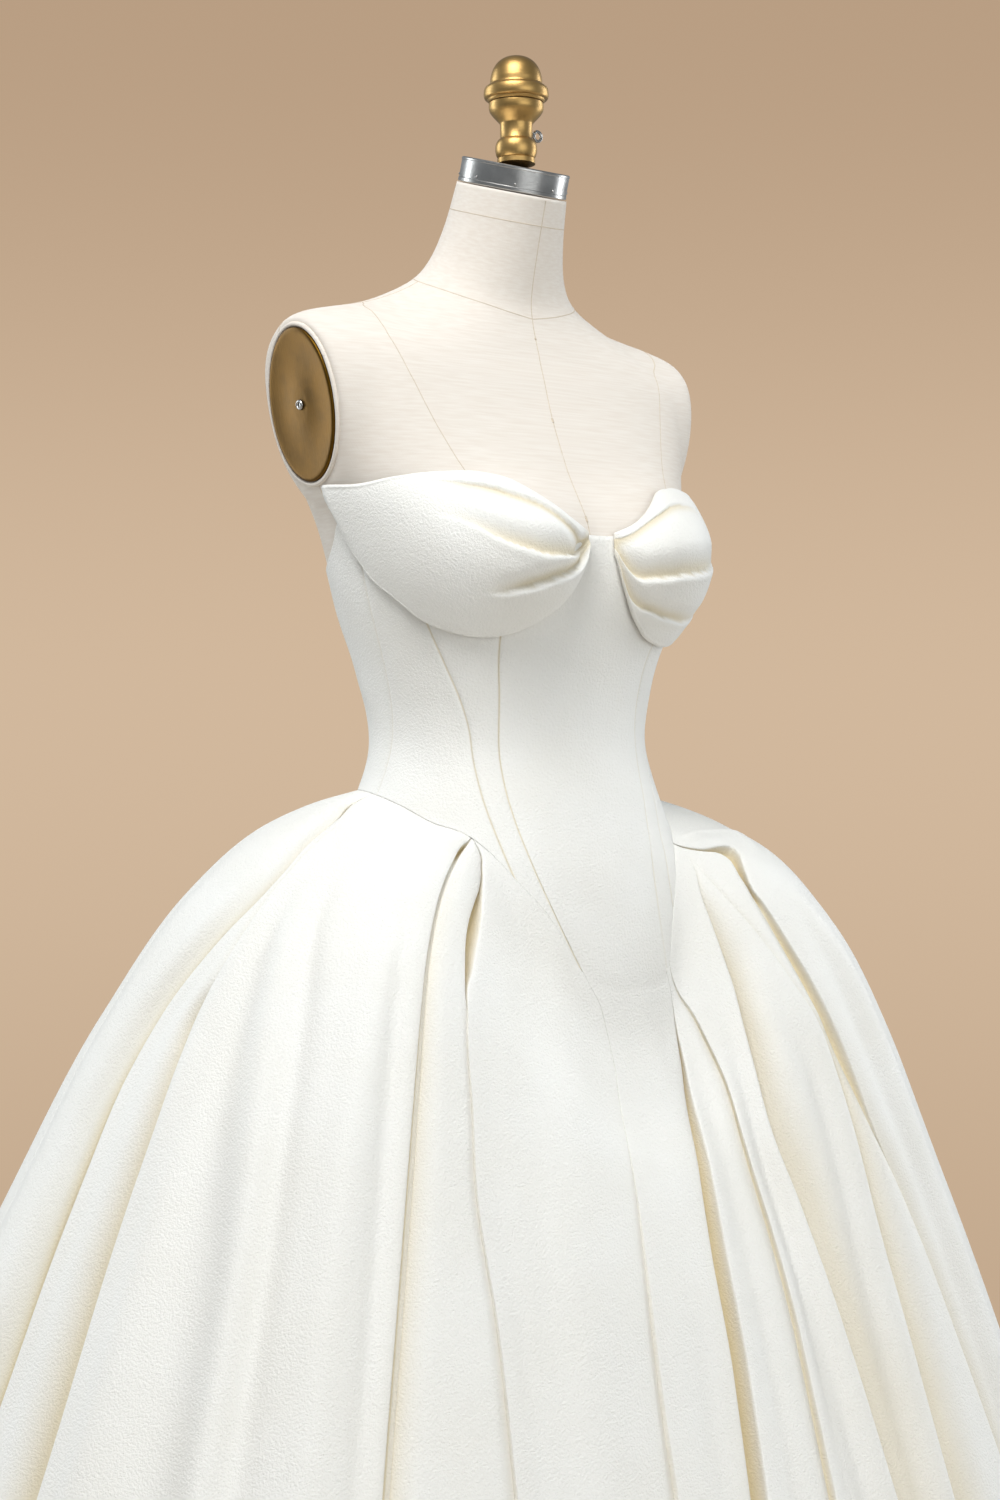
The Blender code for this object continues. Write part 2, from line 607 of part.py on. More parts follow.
# ------------------------------------------------------------------- dress form
def flatten_armhole(points):
    """Presses the flat oval armholes into both sides of the torso."""
    x, y, z = points[..., 0], points[..., 1], points[..., 2]
    flat_x, flat_y, flat_z = ARM_CENTRE
    plane = flat_x + ARM_LEAN * (z - flat_z)
    across = (y - flat_y) / (0.5 * ARM_PLATE_WIDTH + 0.004)
    rise = (z - flat_z) / (0.5 * ARM_PLATE_HEIGHT + 0.004)
    flat = 1 - step(1.0, 1.35, np.sqrt(across ** 2 + rise ** 2))
    flat = flat * (np.abs(x) > 0.5 * flat_x)
    moved = np.abs(x) + (plane - np.abs(x)) * flat
    return np.stack([np.sign(x) * moved, y, z], -1)


def build_torso(collection):
    """The linen torso: a loft of rounded sections, closed at the hip and the neck."""
    columns = 40
    under_cloth = np.interp(TORSO_ROWS, FINE_HEIGHTS, FINE_ROWS)
    levels = np.concatenate([under_cloth, SHOULDER_ROWS])
    turns = np.linspace(-math.pi, math.pi, columns, endpoint=False)
    angle, level = np.meshgrid(turns, levels)
    height = np.interp(level, FINE_ROWS, FINE_HEIGHTS)
    slimmer = UNDER_BODICE + UNDER_BUST * step(1.11, 1.16, height)
    slimmer = slimmer + UNDER_HIP * (1 - step(0.99, 1.03, height))
    slimmer = slimmer * (1 - step(1.25, 1.29, height))
    grid = flatten_armhole(torso_points(angle, level, -slimmer))
    rows = len(levels)
    faces = []
    for r in range(rows - 1):
        for c in range(columns):
            n = (c + 1) % columns
            faces.append((r * columns + c, r * columns + n, (r + 1) * columns + n,
                          (r + 1) * columns + c))
    faces.append(tuple(reversed(range(columns))))
    faces.append(tuple((rows - 1) * columns + c for c in range(columns)))
    item = mesh_object("form_torso", grid.reshape(-1, 3), faces)
    place(item, collection, "linen", 50.0)


def turned(name, profile, centre_y, segments, collection, finish):
    """A turned piece: its outline from the top down, spun round a vertical axis."""
    outline = [(radius, 0.0, height) for height, radius in profile]
    edges = [(number, number + 1) for number in range(len(outline) - 1)]
    mesh = bpy.data.meshes.new(name)
    mesh.from_pydata(outline, edges, [])
    item = bpy.data.objects.new(name, mesh)
    item.location.y = centre_y
    place(item, collection, finish)
    spin = item.modifiers.new("spin", "SCREW")
    spin.steps = segments
    spin.render_steps = segments
    spin.use_merge_vertices = True
    spin.merge_threshold = 0.00005
    spin.use_smooth_shade = True
    return item


def cylinder(name, radius, length, matrix, segments):
    """A round bar or disc whose axis is the matrix's z axis."""
    bpy.ops.mesh.primitive_cylinder_add(vertices=segments, radius=radius, depth=length)
    item = bpy.context.object
    item.name = name
    item.matrix_world = matrix
    return item


def bevelled(item, width, segments):
    """Takes the sharp edges off a turned or stamped piece."""
    edge = item.modifiers.new("edge", "BEVEL")
    edge.width = width
    edge.segments = segments
    edge.limit_method = "ANGLE"
    edge.angle_limit = math.radians(50)
    return item


def as_cutter(item, collection):
    """Turns an object into a tool that is not part of the finished piece."""
    for old in list(item.users_collection):
        old.objects.unlink(item)
    collection.objects.link(item)
    item.hide_render = True
    item.display_type = "WIRE"
    return item


def cut(item, cutter):
    hole = item.modifiers.new("cut_" + cutter.name, "BOOLEAN")
    hole.operation = "DIFFERENCE"
    hole.object = cutter
    return item


def neck_frame(rise):
    """A frame on the sloping neck, a given way above the top of the torso."""
    tilt = Matrix.Rotation(math.radians(NECK_TILT), 4, "X")
    return Matrix.Translation(Vector(NECK_CENTRE)) @ tilt @ Matrix.Translation((0, 0, rise))


def build_neck_and_finial(collection, cutters):
    middle = SEAM_GAP + 0.5 * NECK_BAND_HEIGHT
    band = cylinder("neck_band", NECK_RADIUS, NECK_BAND_HEIGHT, neck_frame(middle), 36)
    bevelled(place(band, collection, "steel"), 0.0012, 1)

    turned("finial_knob", KNOB_PROFILE, FINIAL_Y, 22, collection, "brass")
    stem = turned("finial_stem", STEM_PROFILE, FINIAL_Y, 22, collection, "brass")
    top_of_band = SEAM_GAP + NECK_BAND_HEIGHT + SEAM_GAP
    block = 0.060
    bpy.ops.mesh.primitive_cube_add(size=block)
    foot = bpy.context.object
    foot.name = "foot_cutter"
    foot.matrix_world = neck_frame(top_of_band - 0.5 * block)
    cut(stem, as_cutter(foot, cutters))

    along_x = Matrix.Rotation(math.radians(90), 4, "Y")
    bore_start = STEM_NECK - SCREW_BORE_DEPTH
    bore_length = 2 * SCREW_BORE_DEPTH
    bore_place = Matrix.Translation((bore_start + 0.5 * bore_length, FINIAL_Y, SCREW_HEIGHT))
    bore = cylinder("screw_bore", SCREW_RADIUS + SCREW_CLEARANCE, bore_length,
                    bore_place @ along_x, 12)
    cut(stem, as_cutter(bore, cutters))

    shank_start = bore_start + SCREW_CLEARANCE
    shank_middle = 0.5 * (shank_start + SCREW_REACH)
    shank_place = Matrix.Translation((shank_middle, FINIAL_Y, SCREW_HEIGHT))
    shank = cylinder("thumb_screw", SCREW_RADIUS, SCREW_REACH - shank_start,
                     shank_place @ along_x, 12)
    ring_turn = Matrix.Rotation(math.radians(90), 4, "X")
    bpy.ops.mesh.primitive_torus_add(major_radius=SCREW_RING, minor_radius=SCREW_WIRE,
                                     major_segments=16, minor_segments=6)
    ring = bpy.context.object
    ring.name = "screw_ring"
    centre = (SCREW_REACH + SCREW_RING - 0.3 * SCREW_WIRE, FINIAL_Y, SCREW_HEIGHT)
    ring.matrix_world = Matrix.Translation(centre) @ ring_turn
    place(shank, collection, "steel")
    join = shank.modifiers.new("ring", "BOOLEAN")
    join.operation = "UNION"
    join.object = as_cutter(ring, cutters)


def build_arm_plates(collection):
    """Oval brass plates on the flat armholes, each held by one domed screw."""
    lean = math.atan(ARM_LEAN)
    for side, label in ((-1, "right"), (1, "left")):
        turn = Matrix.Rotation(side * (math.pi / 2 + lean), 4, "Y")
        centre = Vector((side * ARM_CENTRE[0], ARM_CENTRE[1], ARM_CENTRE[2]))
        base = Matrix.Translation(centre) @ turn
        bpy.ops.mesh.primitive_cylinder_add(vertices=28, radius=0.5, depth=ARM_PLATE_THICK)
        plate = bpy.context.object
        plate.name = f"arm_plate_{label}"
        oval = Matrix.Diagonal((ARM_PLATE_HEIGHT, ARM_PLATE_WIDTH, 1.0, 1.0))
        plate.data.transform(oval)
        plate.matrix_world = base @ Matrix.Translation((0, 0, SEAM_GAP + 0.5 * ARM_PLATE_THICK))
        bevelled(place(plate, collection, "brass"), 0.0008, 1)
        rise = SEAM_GAP + ARM_PLATE_THICK + SEAM_GAP + 0.5 * ARM_SCREW_HEIGHT
        head = cylinder(f"arm_screw_{label}", ARM_SCREW_RADIUS, ARM_SCREW_HEIGHT,
                        base @ Matrix.Translation((0, 0, rise)), 12)
        bevelled(place(head, collection, "steel"), 0.0009, 1)


def build_stand(collection):
    """Flange under the torso, pole and weighted round base."""
    flange_z = TORSO_BOTTOM - SEAM_GAP - 0.5 * FLANGE_THICK
    flange = cylinder("stand_flange", FLANGE_RADIUS, FLANGE_THICK,
                      Matrix.Translation((0, 0, flange_z)), 24)
    bevelled(place(flange, collection, "iron"), 0.0010, 1)
    pole_top = flange_z - 0.5 * FLANGE_THICK - SEAM_GAP
    pole_bottom = BASE_HEIGHT + SEAM_GAP
    pole = cylinder("stand_pole", POLE_RADIUS, pole_top - pole_bottom,
                    Matrix.Translation((0, 0, 0.5 * (pole_top + pole_bottom))), 24)
    place(pole, collection, "steel")
    outline = (
        (BASE_HEIGHT, 0.0), (BASE_HEIGHT, 0.030), (0.0175, 0.060), (0.0140, 0.150),
        (0.0120, 0.184), (0.0090, BASE_RADIUS), (0.0, BASE_RADIUS), (0.0, 0.0),
    )
    turned("stand_base", outline, 0.0, 36, collection, "iron")


def main():
    clear_scene()
    gown = make_collection("ball_gown_on_dress_form")
    cutters = make_collection("cutters")
    build_torso(gown)
    build_neck_and_finial(gown, cutters)
    build_arm_plates(gown)
    build_stand(gown)
    build_bodice(gown)
    build_cups(gown)
    build_centre_panel(gown)
    build_skirt(gown)


main()
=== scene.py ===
# %% [markdown]
# # A ball gown on its dress form
# The gown is cut from heavy ivory satin crepe: a boned strapless bodice, two pleated
# bust drapes, and a wide skirt whose folds spring from a pointed waist seam.  It stands
# on a limbless linen dress form with brass and steel fittings.  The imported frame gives
# every piece its place, in metres, with the front towards -Y and +Z up.  Each cell here
# makes one kind of piece, as a surface worked out with numpy, so any number can be
# changed and the script run again from the top.

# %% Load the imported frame
import math

import bpy
import numpy as np
from mathutils import Matrix, Vector


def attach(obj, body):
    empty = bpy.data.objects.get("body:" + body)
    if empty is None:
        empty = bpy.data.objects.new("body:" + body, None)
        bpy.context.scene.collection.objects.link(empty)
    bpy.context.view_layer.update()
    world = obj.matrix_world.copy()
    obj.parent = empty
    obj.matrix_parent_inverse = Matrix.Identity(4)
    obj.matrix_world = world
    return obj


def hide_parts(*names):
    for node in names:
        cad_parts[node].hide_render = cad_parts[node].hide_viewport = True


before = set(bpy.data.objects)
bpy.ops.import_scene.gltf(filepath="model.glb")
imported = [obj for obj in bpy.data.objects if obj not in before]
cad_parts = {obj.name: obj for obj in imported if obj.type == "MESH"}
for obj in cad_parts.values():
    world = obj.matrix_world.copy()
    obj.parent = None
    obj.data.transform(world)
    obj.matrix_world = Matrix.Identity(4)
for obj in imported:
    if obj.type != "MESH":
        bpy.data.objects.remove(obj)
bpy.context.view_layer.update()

BODY = "gown_on_form"

# %% [markdown]
# ## Curves through short tables
# A pattern cutter marks a few heights and widths and draws a fair curve through them.
# `through` does the same with numbers, so a short table can describe a whole seam.
# Blender's own curve objects could do this too, but a plain table is easier to read,
# and the same curve can then serve a seam, an outline or the path of a fold.

# %% Fair curves and soft steps
def through(rows, column, at):
    """Smooth curve through one column of a table: cubic pieces that share their slopes."""
    table = np.asarray(rows, float)
    axis = table[:, 0]
    values = table[:, column]
    gaps = np.diff(axis)
    rises = np.diff(values) / gaps
    slopes = np.empty_like(values)
    slopes[0] = rises[0]
    slopes[-1] = rises[-1]
    slopes[1:-1] = (rises[:-1] * gaps[1:] + rises[1:] * gaps[:-1]) / (gaps[1:] + gaps[:-1])
    at = np.clip(np.asarray(at, float), axis[0], axis[-1])
    k = np.clip(np.searchsorted(axis, at, side="right") - 1, 0, len(axis) - 2)
    s = (at - axis[k]) / gaps[k]
    start = (1 + 2 * s) * (1 - s) ** 2 * values[k] + s * (1 - s) ** 2 * gaps[k] * slopes[k]
    end = s * s * (3 - 2 * s) * values[k + 1] + s * s * (s - 1) * gaps[k] * slopes[k + 1]
    return start + end


def step(low, high, value):
    """0 below low, 1 above high, and 3s^2 - 2s^3 between them."""
    share = np.clip((value - low) / (high - low), 0, 1)
    return share * share * (3 - 2 * share)


def signed_power(value, power):
    """A power that keeps the sign, for rounded squares."""
    return np.sign(value) * np.abs(value) ** power


print("half way up a soft step:", float(step(0, 1, 0.5)))

# %% [markdown]
# ## The body under the cloth
# The form's skin is a stack of rounded ovals.  Each row of the table is one oval: how
# high it is, how wide, how deep in front and behind, where its middle lies, how square
# its corners are and how far it slopes to the front.  A body could also be sculpted, but
# here the same ovals, let out by a few millimetres, carry the bodice, so cloth and form
# always fit.

# %% The body's surface
# rows of height, half width, depth in front, depth behind, y of the middle, squareness
# (2 is an ellipse) and slope in degrees
TORSO = (
    (0.800, 0.178, 0.132, 0.132, 0.010, 2.10, 0.0),
    (0.880, 0.180, 0.138, 0.134, 0.008, 2.10, 0.0),
    (0.960, 0.163, 0.125, 0.121, 0.004, 2.10, 0.0),
    (1.020, 0.138, 0.106, 0.101, 0.000, 2.10, 0.0),
    (1.075, 0.121, 0.093, 0.089, 0.000, 2.10, 0.0),
    (1.130, 0.129, 0.098, 0.095, 0.003, 2.15, 0.0),
    (1.190, 0.146, 0.110, 0.103, 0.007, 2.20, 0.0),
    (1.245, 0.159, 0.117, 0.106, 0.012, 2.30, 0.0),
    (1.300, 0.176, 0.103, 0.104, 0.022, 2.60, 0.0),
    (1.345, 0.188, 0.091, 0.100, 0.030, 3.00, 1.0),
    (1.380, 0.195, 0.082, 0.092, 0.033, 3.00, 5.0),
    (1.402, 0.187, 0.074, 0.080, 0.032, 2.70, 9.0),
    (1.420, 0.150, 0.066, 0.067, 0.029, 2.30, 12.0),
    (1.437, 0.107, 0.058, 0.059, 0.025, 2.10, 15.0),
    (1.453, 0.076, 0.051, 0.052, 0.020, 2.00, 17.0),
    (1.472, 0.060, 0.048, 0.049, 0.014, 2.00, 17.0),
    (1.500, 0.051, 0.046, 0.047, 0.005, 2.00, 17.0),
    (1.5346, 0.0455, 0.0455, 0.0455, -0.005, 2.00, 17.0),
)
TORSO_BY_ROW = tuple((row,) + values for row, values in enumerate(TORSO))
FINE_ROWS = np.linspace(0, len(TORSO) - 1, 600)
FINE_HEIGHTS = through(TORSO_BY_ROW, 1, FINE_ROWS)
BUST = {"x": 0.082, "z": 1.222, "width": 0.062, "height": 0.050, "depth": 0.032}


def torso_points(angle, level, ease):
    """Superellipse |x/w|^n + |y/d|^n = 1 at each level, plus two rounded swells."""
    height, width, front, back, centre, square, slope = [
        through(TORSO_BY_ROW, column, level) for column in range(1, 8)
    ]
    sine, cosine = np.sin(angle), np.cos(angle)
    x = (width + ease) * signed_power(sine, 2 / square)
    depth = np.where(cosine > 0, front, back) + ease
    y = centre - depth * signed_power(cosine, 2 / square)
    swell = np.exp(
        -(((np.abs(x) - BUST["x"]) / BUST["width"]) ** 2)
        - ((height - BUST["z"]) / BUST["height"]) ** 2
    )
    y = y - BUST["depth"] * swell * np.clip(cosine * 2, 0, 1)
    z = height + np.tan(np.radians(slope)) * (y - centre)
    return np.stack([x, y, z + 0 * x], -1)


def bodice_points(angle, height):
    """The form's oval at a height, let out by 2.7 to 3.7 mm for the bodice."""
    level = np.interp(height, FINE_HEIGHTS, FINE_ROWS)
    return torso_points(angle, level, 0.0027 + 0.0010 * step(1.10, 1.17, height))


def surface_normals(surface, angle, other, small=0.0015):
    """Outward normals: the cross product of the two directions along a surface."""
    across = surface(angle + small, other) - surface(angle - small, other)
    down = surface(angle, other + small) - surface(angle, other - small)
    normal = np.cross(down, across)
    return normal / np.linalg.norm(normal, axis=-1, keepdims=True)


def bodice_normals(angle, height):
    """Outward normals of the bodice, with height turned round so that it runs downwards."""
    return surface_normals(lambda a, drop: bodice_points(a, -drop), angle, -height)


waist_ring = bodice_points(np.linspace(-math.pi, math.pi, 400), np.full(400, 1.07))
waist_length = np.linalg.norm(np.diff(waist_ring, axis=0), axis=1).sum()
print("waist measures", round(float(waist_length), 3), "m")

# %% [markdown]
# ## From grids to meshes
# A surface here is a grid of points: rows run down and columns run to the wearer's left.
# foreach_set copies whole arrays into a mesh at once, which is far quicker than adding
# points one by one.

# %% Grids
def grid_faces(rows, columns, around=False, flip=False, first=0):
    """Four-sided faces of a grid; around joins the last column to the first."""
    r = np.arange(rows - 1)[:, None]
    c = np.arange(columns if around else columns - 1)[None, :]
    n = (c + 1) % columns
    a, d = r * columns + c, r * columns + n
    b, e = a + columns, d + columns
    faces = np.stack([a, b, e, d], -1).reshape(-1, 4) + first
    return faces[:, ::-1] if flip else faces


def grid_normals(grid):
    """Cross product of the way down and the way to the left, at unit length."""
    normal = np.cross(np.gradient(grid, axis=0), np.gradient(grid, axis=1))
    return normal / np.maximum(np.linalg.norm(normal, axis=-1, keepdims=True), 1e-12)


def metric_uv(grid):
    """Distance along each row and down each column, in metres."""
    along = np.linalg.norm(np.diff(grid, axis=1), axis=-1)
    down = np.linalg.norm(np.diff(grid, axis=0), axis=-1)
    u = np.concatenate([np.zeros((len(grid), 1)), np.cumsum(along, axis=1)], axis=1)
    v = np.concatenate([np.zeros((1, grid.shape[1])), np.cumsum(down, axis=0)], axis=0)
    u = u - 0.5 * u[:, -1:]
    return np.stack([u, -v], -1)


print("a grid of 3 x 4 points has", len(grid_faces(3, 4)), "faces")

# %% Meshes and finished pieces
def make_mesh(name, points, face_sets, uv=None, painted_shade=None):
    """Puts arrays of points and faces into a smooth-shaded mesh object."""
    loops = np.concatenate([faces.ravel() for faces in face_sets])
    counts = np.concatenate([np.full(len(faces), faces.shape[1]) for faces in face_sets])
    mesh = bpy.data.meshes.new(name)
    mesh.vertices.add(len(points))
    mesh.vertices.foreach_set("co", np.asarray(points, np.float32).ravel())
    mesh.loops.add(len(loops))
    mesh.loops.foreach_set("vertex_index", loops.astype(np.int32))
    mesh.polygons.add(len(counts))
    mesh.polygons.foreach_set("loop_start", (np.cumsum(counts) - counts).astype(np.int32))
    mesh.update(calc_edges=True)
    mesh.polygons.foreach_set("use_smooth", np.ones(len(counts), bool))
    if uv is not None:
        layer = mesh.uv_layers.new(name="threads")
        layer.data.foreach_set("uv", np.asarray(uv, np.float32)[loops].ravel())
    # painted shade: how much of the golden fold tone each point's colour takes on
    if painted_shade is not None:
        layer = mesh.attributes.new("painted_shade_amount", "FLOAT", "POINT")
        layer.data.foreach_set("value", np.asarray(painted_shade, np.float32).ravel())
    piece = bpy.data.objects.new(name, mesh)
    bpy.context.scene.collection.objects.link(piece)
    return piece


def finish_piece(piece, material, body=BODY, stands_for=()):
    """Gives a piece its material, the body it rides on and the nodes it replaces."""
    piece.data.materials.append(material)
    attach(piece, body)
    if stands_for:
        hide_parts(*stands_for)
    print(f"{piece.name}: {sum(len(p.vertices) - 2 for p in piece.data.polygons)} triangles")
    return piece


# %% [markdown]
# ## Cloth as a closed wall
# Real cloth has a thickness, and an edge that catches the light.  A sheet here is its
# outer grid, the same grid a cloth's thickness further in, and a rim that joins them.  A
# Solidify modifier would do much the same; worked out here, the inside keeps the same
# rows and columns, and the UV map can be measured in metres along the threads, so that
# the weave keeps its size.

# %% Cloth walls and their flat cut
def cloth_wall(name, grid, thick, painted_shade):
    """Closed wall: the grid outside, the grid minus thick x normal inside, a rim between."""
    rows, columns = grid.shape[:2]
    count = rows * columns
    inner = grid - thick * grid_normals(grid)
    top = np.arange(columns)
    right = np.arange(1, rows) * columns + columns - 1
    bottom = (rows - 1) * columns + np.arange(columns - 2, -1, -1)
    left = np.arange(rows - 2, 0, -1) * columns
    here = np.concatenate([top, right, bottom, left])
    after = np.roll(here, -1)
    rim = np.stack([here, after, count + after, count + here], -1)
    faces = [grid_faces(rows, columns), grid_faces(rows, columns, flip=True, first=count), rim]
    points = np.concatenate([grid.reshape(-1, 3), inner.reshape(-1, 3)])
    uv = np.tile(metric_uv(grid).reshape(-1, 2), (2, 1))
    return make_mesh(name, points, faces, uv, np.tile(painted_shade.ravel(), 2))


CLOTH = 0.0012
print("cloth is", CLOTH * 1000, "mm thick")

# %% [markdown]
# ## Surface effects shared by the materials
# Satin crepe has a fine pebbled face, linen has slubs and threads, and metal has grain
# and handling marks.  Image textures would repeat and need files; noise made by nodes
# has no edges and works at any distance.  Each effect is one node group that gives
# a height and a value between 0 and 1, and every material sets its own sizes.

# %% Node helpers
def new_group(name, inputs, outputs):
    """An empty shader group with named sockets; inputs give their own default values."""
    group = bpy.data.node_groups.new(name, "ShaderNodeTree")
    for label, kind, value in inputs:
        socket = group.interface.new_socket(label, in_out="INPUT", socket_type=kind)
        if value is not None:
            socket.default_value = value
    for label, kind in outputs:
        group.interface.new_socket(label, in_out="OUTPUT", socket_type=kind)
    return group, group.nodes.new("NodeGroupInput"), group.nodes.new("NodeGroupOutput")


def maths(tree, operation, first, second):
    """One arithmetic node; each input is a socket or a number."""
    node = tree.nodes.new("ShaderNodeMath")
    node.operation = operation
    for socket, value in zip(node.inputs, (first, second)):
        if isinstance(value, (int, float)):
            socket.default_value = value
        else:
            tree.links.new(value, socket)
    return node.outputs[0]


def noise(tree, place, scale, detail, rough=0.5):
    """Noise on given coordinates; scale is a socket or a number."""
    node = tree.nodes.new("ShaderNodeTexNoise")
    node.inputs["Detail"].default_value = detail
    node.inputs["Roughness"].default_value = rough
    tree.links.new(place, node.inputs["Vector"])
    if isinstance(scale, (int, float)):
        node.inputs["Scale"].default_value = scale
    else:
        tree.links.new(scale, node.inputs["Scale"])
    return node.outputs["Fac"]


def stretched(tree, place, scale):
    """Coordinates multiplied by three numbers, which draws a pattern out one way."""
    node = tree.nodes.new("ShaderNodeMapping")
    node.inputs["Scale"].default_value = scale
    tree.links.new(place, node.inputs["Vector"])
    return node.outputs["Vector"]


print("node helpers ready")

# %% Crepe, linen and metal
def crepe_group():
    """Pebbles of two sizes and long soft waves: height = pebbles + grain, shade = waves."""
    group, start, end = new_group(
        "crepe face",
        (("Place", "NodeSocketVector", None), ("Pebble Scale", "NodeSocketFloat", 420.0)),
        (("Height", "NodeSocketFloat"), ("Shade", "NodeSocketFloat")),
    )
    place, scale = start.outputs["Place"], start.outputs["Pebble Scale"]
    pebbles = noise(group, place, scale, 2.5, 0.55)
    fine = noise(group, place, maths(group, "MULTIPLY", scale, 2.3), 2.0, 0.6)
    height = maths(group, "ADD", maths(group, "MULTIPLY", pebbles, 0.7),
                   maths(group, "MULTIPLY", fine, 0.3))
    group.links.new(height, end.inputs["Height"])
    group.links.new(noise(group, place, 14.0, 3.0, 0.5), end.inputs["Shade"])
    return group


def linen_group():
    """Threads both ways, drawn out noise on the metre UV, and slubs where they thicken."""
    group, start, end = new_group(
        "linen weave",
        (("Threads", "NodeSocketVector", None),),
        (("Height", "NodeSocketFloat"), ("Shade", "NodeSocketFloat")),
    )
    place = start.outputs["Threads"]
    warp = noise(group, stretched(group, place, (900.0, 60.0, 1.0)), 1.0, 2.0)
    weft = noise(group, stretched(group, place, (70.0, 800.0, 1.0)), 1.0, 2.0)
    height = maths(group, "ADD", maths(group, "MULTIPLY", warp, 0.5),
                   maths(group, "MULTIPLY", weft, 0.5))
    slub = noise(group, stretched(group, place, (40.0, 500.0, 1.0)), 1.0, 1.0)
    group.links.new(height, end.inputs["Height"])
    group.links.new(slub, end.inputs["Shade"])
    return group


def metal_group():
    """Drawn-out grain and cloudy tarnish: height = grain, marks = large noise."""
    group, start, end = new_group(
        "metal grain",
        (("Place", "NodeSocketVector", None), ("Grain", "NodeSocketVector", (1.0, 1.0, 1.0)),
         ("Cloud Scale", "NodeSocketFloat", 60.0)),
        (("Height", "NodeSocketFloat"), ("Marks", "NodeSocketFloat")),
    )
    scaled = group.nodes.new("ShaderNodeVectorMath")
    scaled.operation = "MULTIPLY"
    group.links.new(start.outputs["Place"], scaled.inputs[0])
    group.links.new(start.outputs["Grain"], scaled.inputs[1])
    group.links.new(noise(group, scaled.outputs[0], 1.0, 3.0), end.inputs["Height"])
    clouds = noise(group, start.outputs["Place"], start.outputs["Cloud Scale"], 4.0, 0.6)
    group.links.new(clouds, end.inputs["Marks"])
    return group


CREPE = crepe_group()
LINEN = linen_group()
METAL = metal_group()
print("node groups:", CREPE.name, "/", LINEN.name, "/", METAL.name)

# %% [markdown]
# ## Materials
# The shader stays in each material; the groups feed its colour, roughness and bump.
# In a real white gown the light deep in a fold has gone from cloth to cloth and looks
# golden.  Bounces alone come out paler than that, so each point of the cloth also carries
# a number of painted shade, which says how much of a golden tone its colour takes on.

# %% Shader helpers
def new_material(name, roughness, metallic=0.0, **sockets):
    """A Principled material whose even values sit on the shader's own sockets."""
    material = bpy.data.materials.new(name)
    material.use_nodes = True
    shader = material.node_tree.nodes["Principled BSDF"]
    shader.inputs["Roughness"].default_value = roughness
    shader.inputs["Metallic"].default_value = metallic
    for label, value in sockets.items():
        shader.inputs[label.replace("_", " ")].default_value = value
    return material, material.node_tree, shader


def use_group(tree, group, **values):
    """Places a node group in a material and sets its inputs."""
    node = tree.nodes.new("ShaderNodeGroup")
    node.node_tree = group
    for label, value in values.items():
        node.inputs[label.replace("_", " ")].default_value = value
    return node


def colour_between(tree, shader, mask, low, high, first, second):
    """Base colour runs from first to second while the mask runs from low to high."""
    ramp = tree.nodes.new("ShaderNodeValToRGB")
    ramp.color_ramp.elements[0].position = low
    ramp.color_ramp.elements[1].position = high
    ramp.color_ramp.elements[0].color = (*first, 1)
    ramp.color_ramp.elements[1].color = (*second, 1)
    tree.links.new(mask, ramp.inputs["Fac"])
    tree.links.new(ramp.outputs["Color"], shader.inputs["Base Color"])


def roughness_between(tree, shader, mask, low, high):
    """Roughness = low + mask x (high - low)."""
    spread = maths(tree, "MULTIPLY", mask, high - low)
    tree.links.new(maths(tree, "ADD", spread, low), shader.inputs["Roughness"])


def bump(tree, shader, height, strength, distance):
    """A Bump node that turns a height into the shader's normal."""
    node = tree.nodes.new("ShaderNodeBump")
    node.inputs["Strength"].default_value = strength
    node.inputs["Distance"].default_value = distance
    tree.links.new(height, node.inputs["Height"])
    tree.links.new(node.outputs["Normal"], shader.inputs["Normal"])


def coordinates(tree, kind="Object"):
    """Object coordinates, in metres from the frame's origin, or the piece's UV map."""
    return tree.nodes.new("ShaderNodeTexCoord").outputs[kind]


def paint_golden_shade(tree, shader, tone):
    """Base colour x tone where the cloth lies deep in a fold: painted golden shade, from a point
    attribute.
    """
    colour = shader.inputs["Base Color"].links[0].from_socket
    depth = tree.nodes.new("ShaderNodeAttribute")
    depth.attribute_name = "painted_shade_amount"
    mix = tree.nodes.new("ShaderNodeMix")
    mix.data_type, mix.blend_type = "RGBA", "MULTIPLY"
    mix.inputs[7].default_value = (*tone, 1)
    tree.links.new(depth.outputs["Fac"], mix.inputs[0])
    tree.links.new(colour, mix.inputs[6])
    tree.links.new(mix.outputs[2], shader.inputs["Base Color"])


print("shader helpers ready")

# %% Satin, linen and metal
def satin_material(name, first, second):
    """Satin crepe: pebbled bump, soft even sheen, colour clouded between two ivories."""
    material, tree, shader = new_material(
        name, 0.5, Sheen_Weight=0.12, Sheen_Roughness=0.45, Specular_IOR_Level=0.42)
    face = use_group(tree, CREPE, Pebble_Scale=520.0)
    tree.links.new(coordinates(tree), face.inputs["Place"])
    colour_between(tree, shader, face.outputs["Shade"], 0.35, 0.65, first, second)
    # painted golden shade in folds, pleats and beside seams
    paint_golden_shade(tree, shader, PAINTED_SHADE_TONE)
    roughness_between(tree, shader, face.outputs["Height"], 0.44, 0.60)
    bump(tree, shader, face.outputs["Height"], 0.9, 0.0013)
    return material


def linen_material(name, first, second, strength):
    """Linen: threads and slubs on the piece's own metre UV."""
    material, tree, shader = new_material(name, 0.9, Specular_IOR_Level=0.25)
    weave = use_group(tree, LINEN)
    tree.links.new(coordinates(tree, "UV"), weave.inputs["Threads"])
    colour_between(tree, shader, weave.outputs["Shade"], 0.3, 0.7, first, second)
    bump(tree, shader, weave.outputs["Height"], strength, 0.0006)
    return material


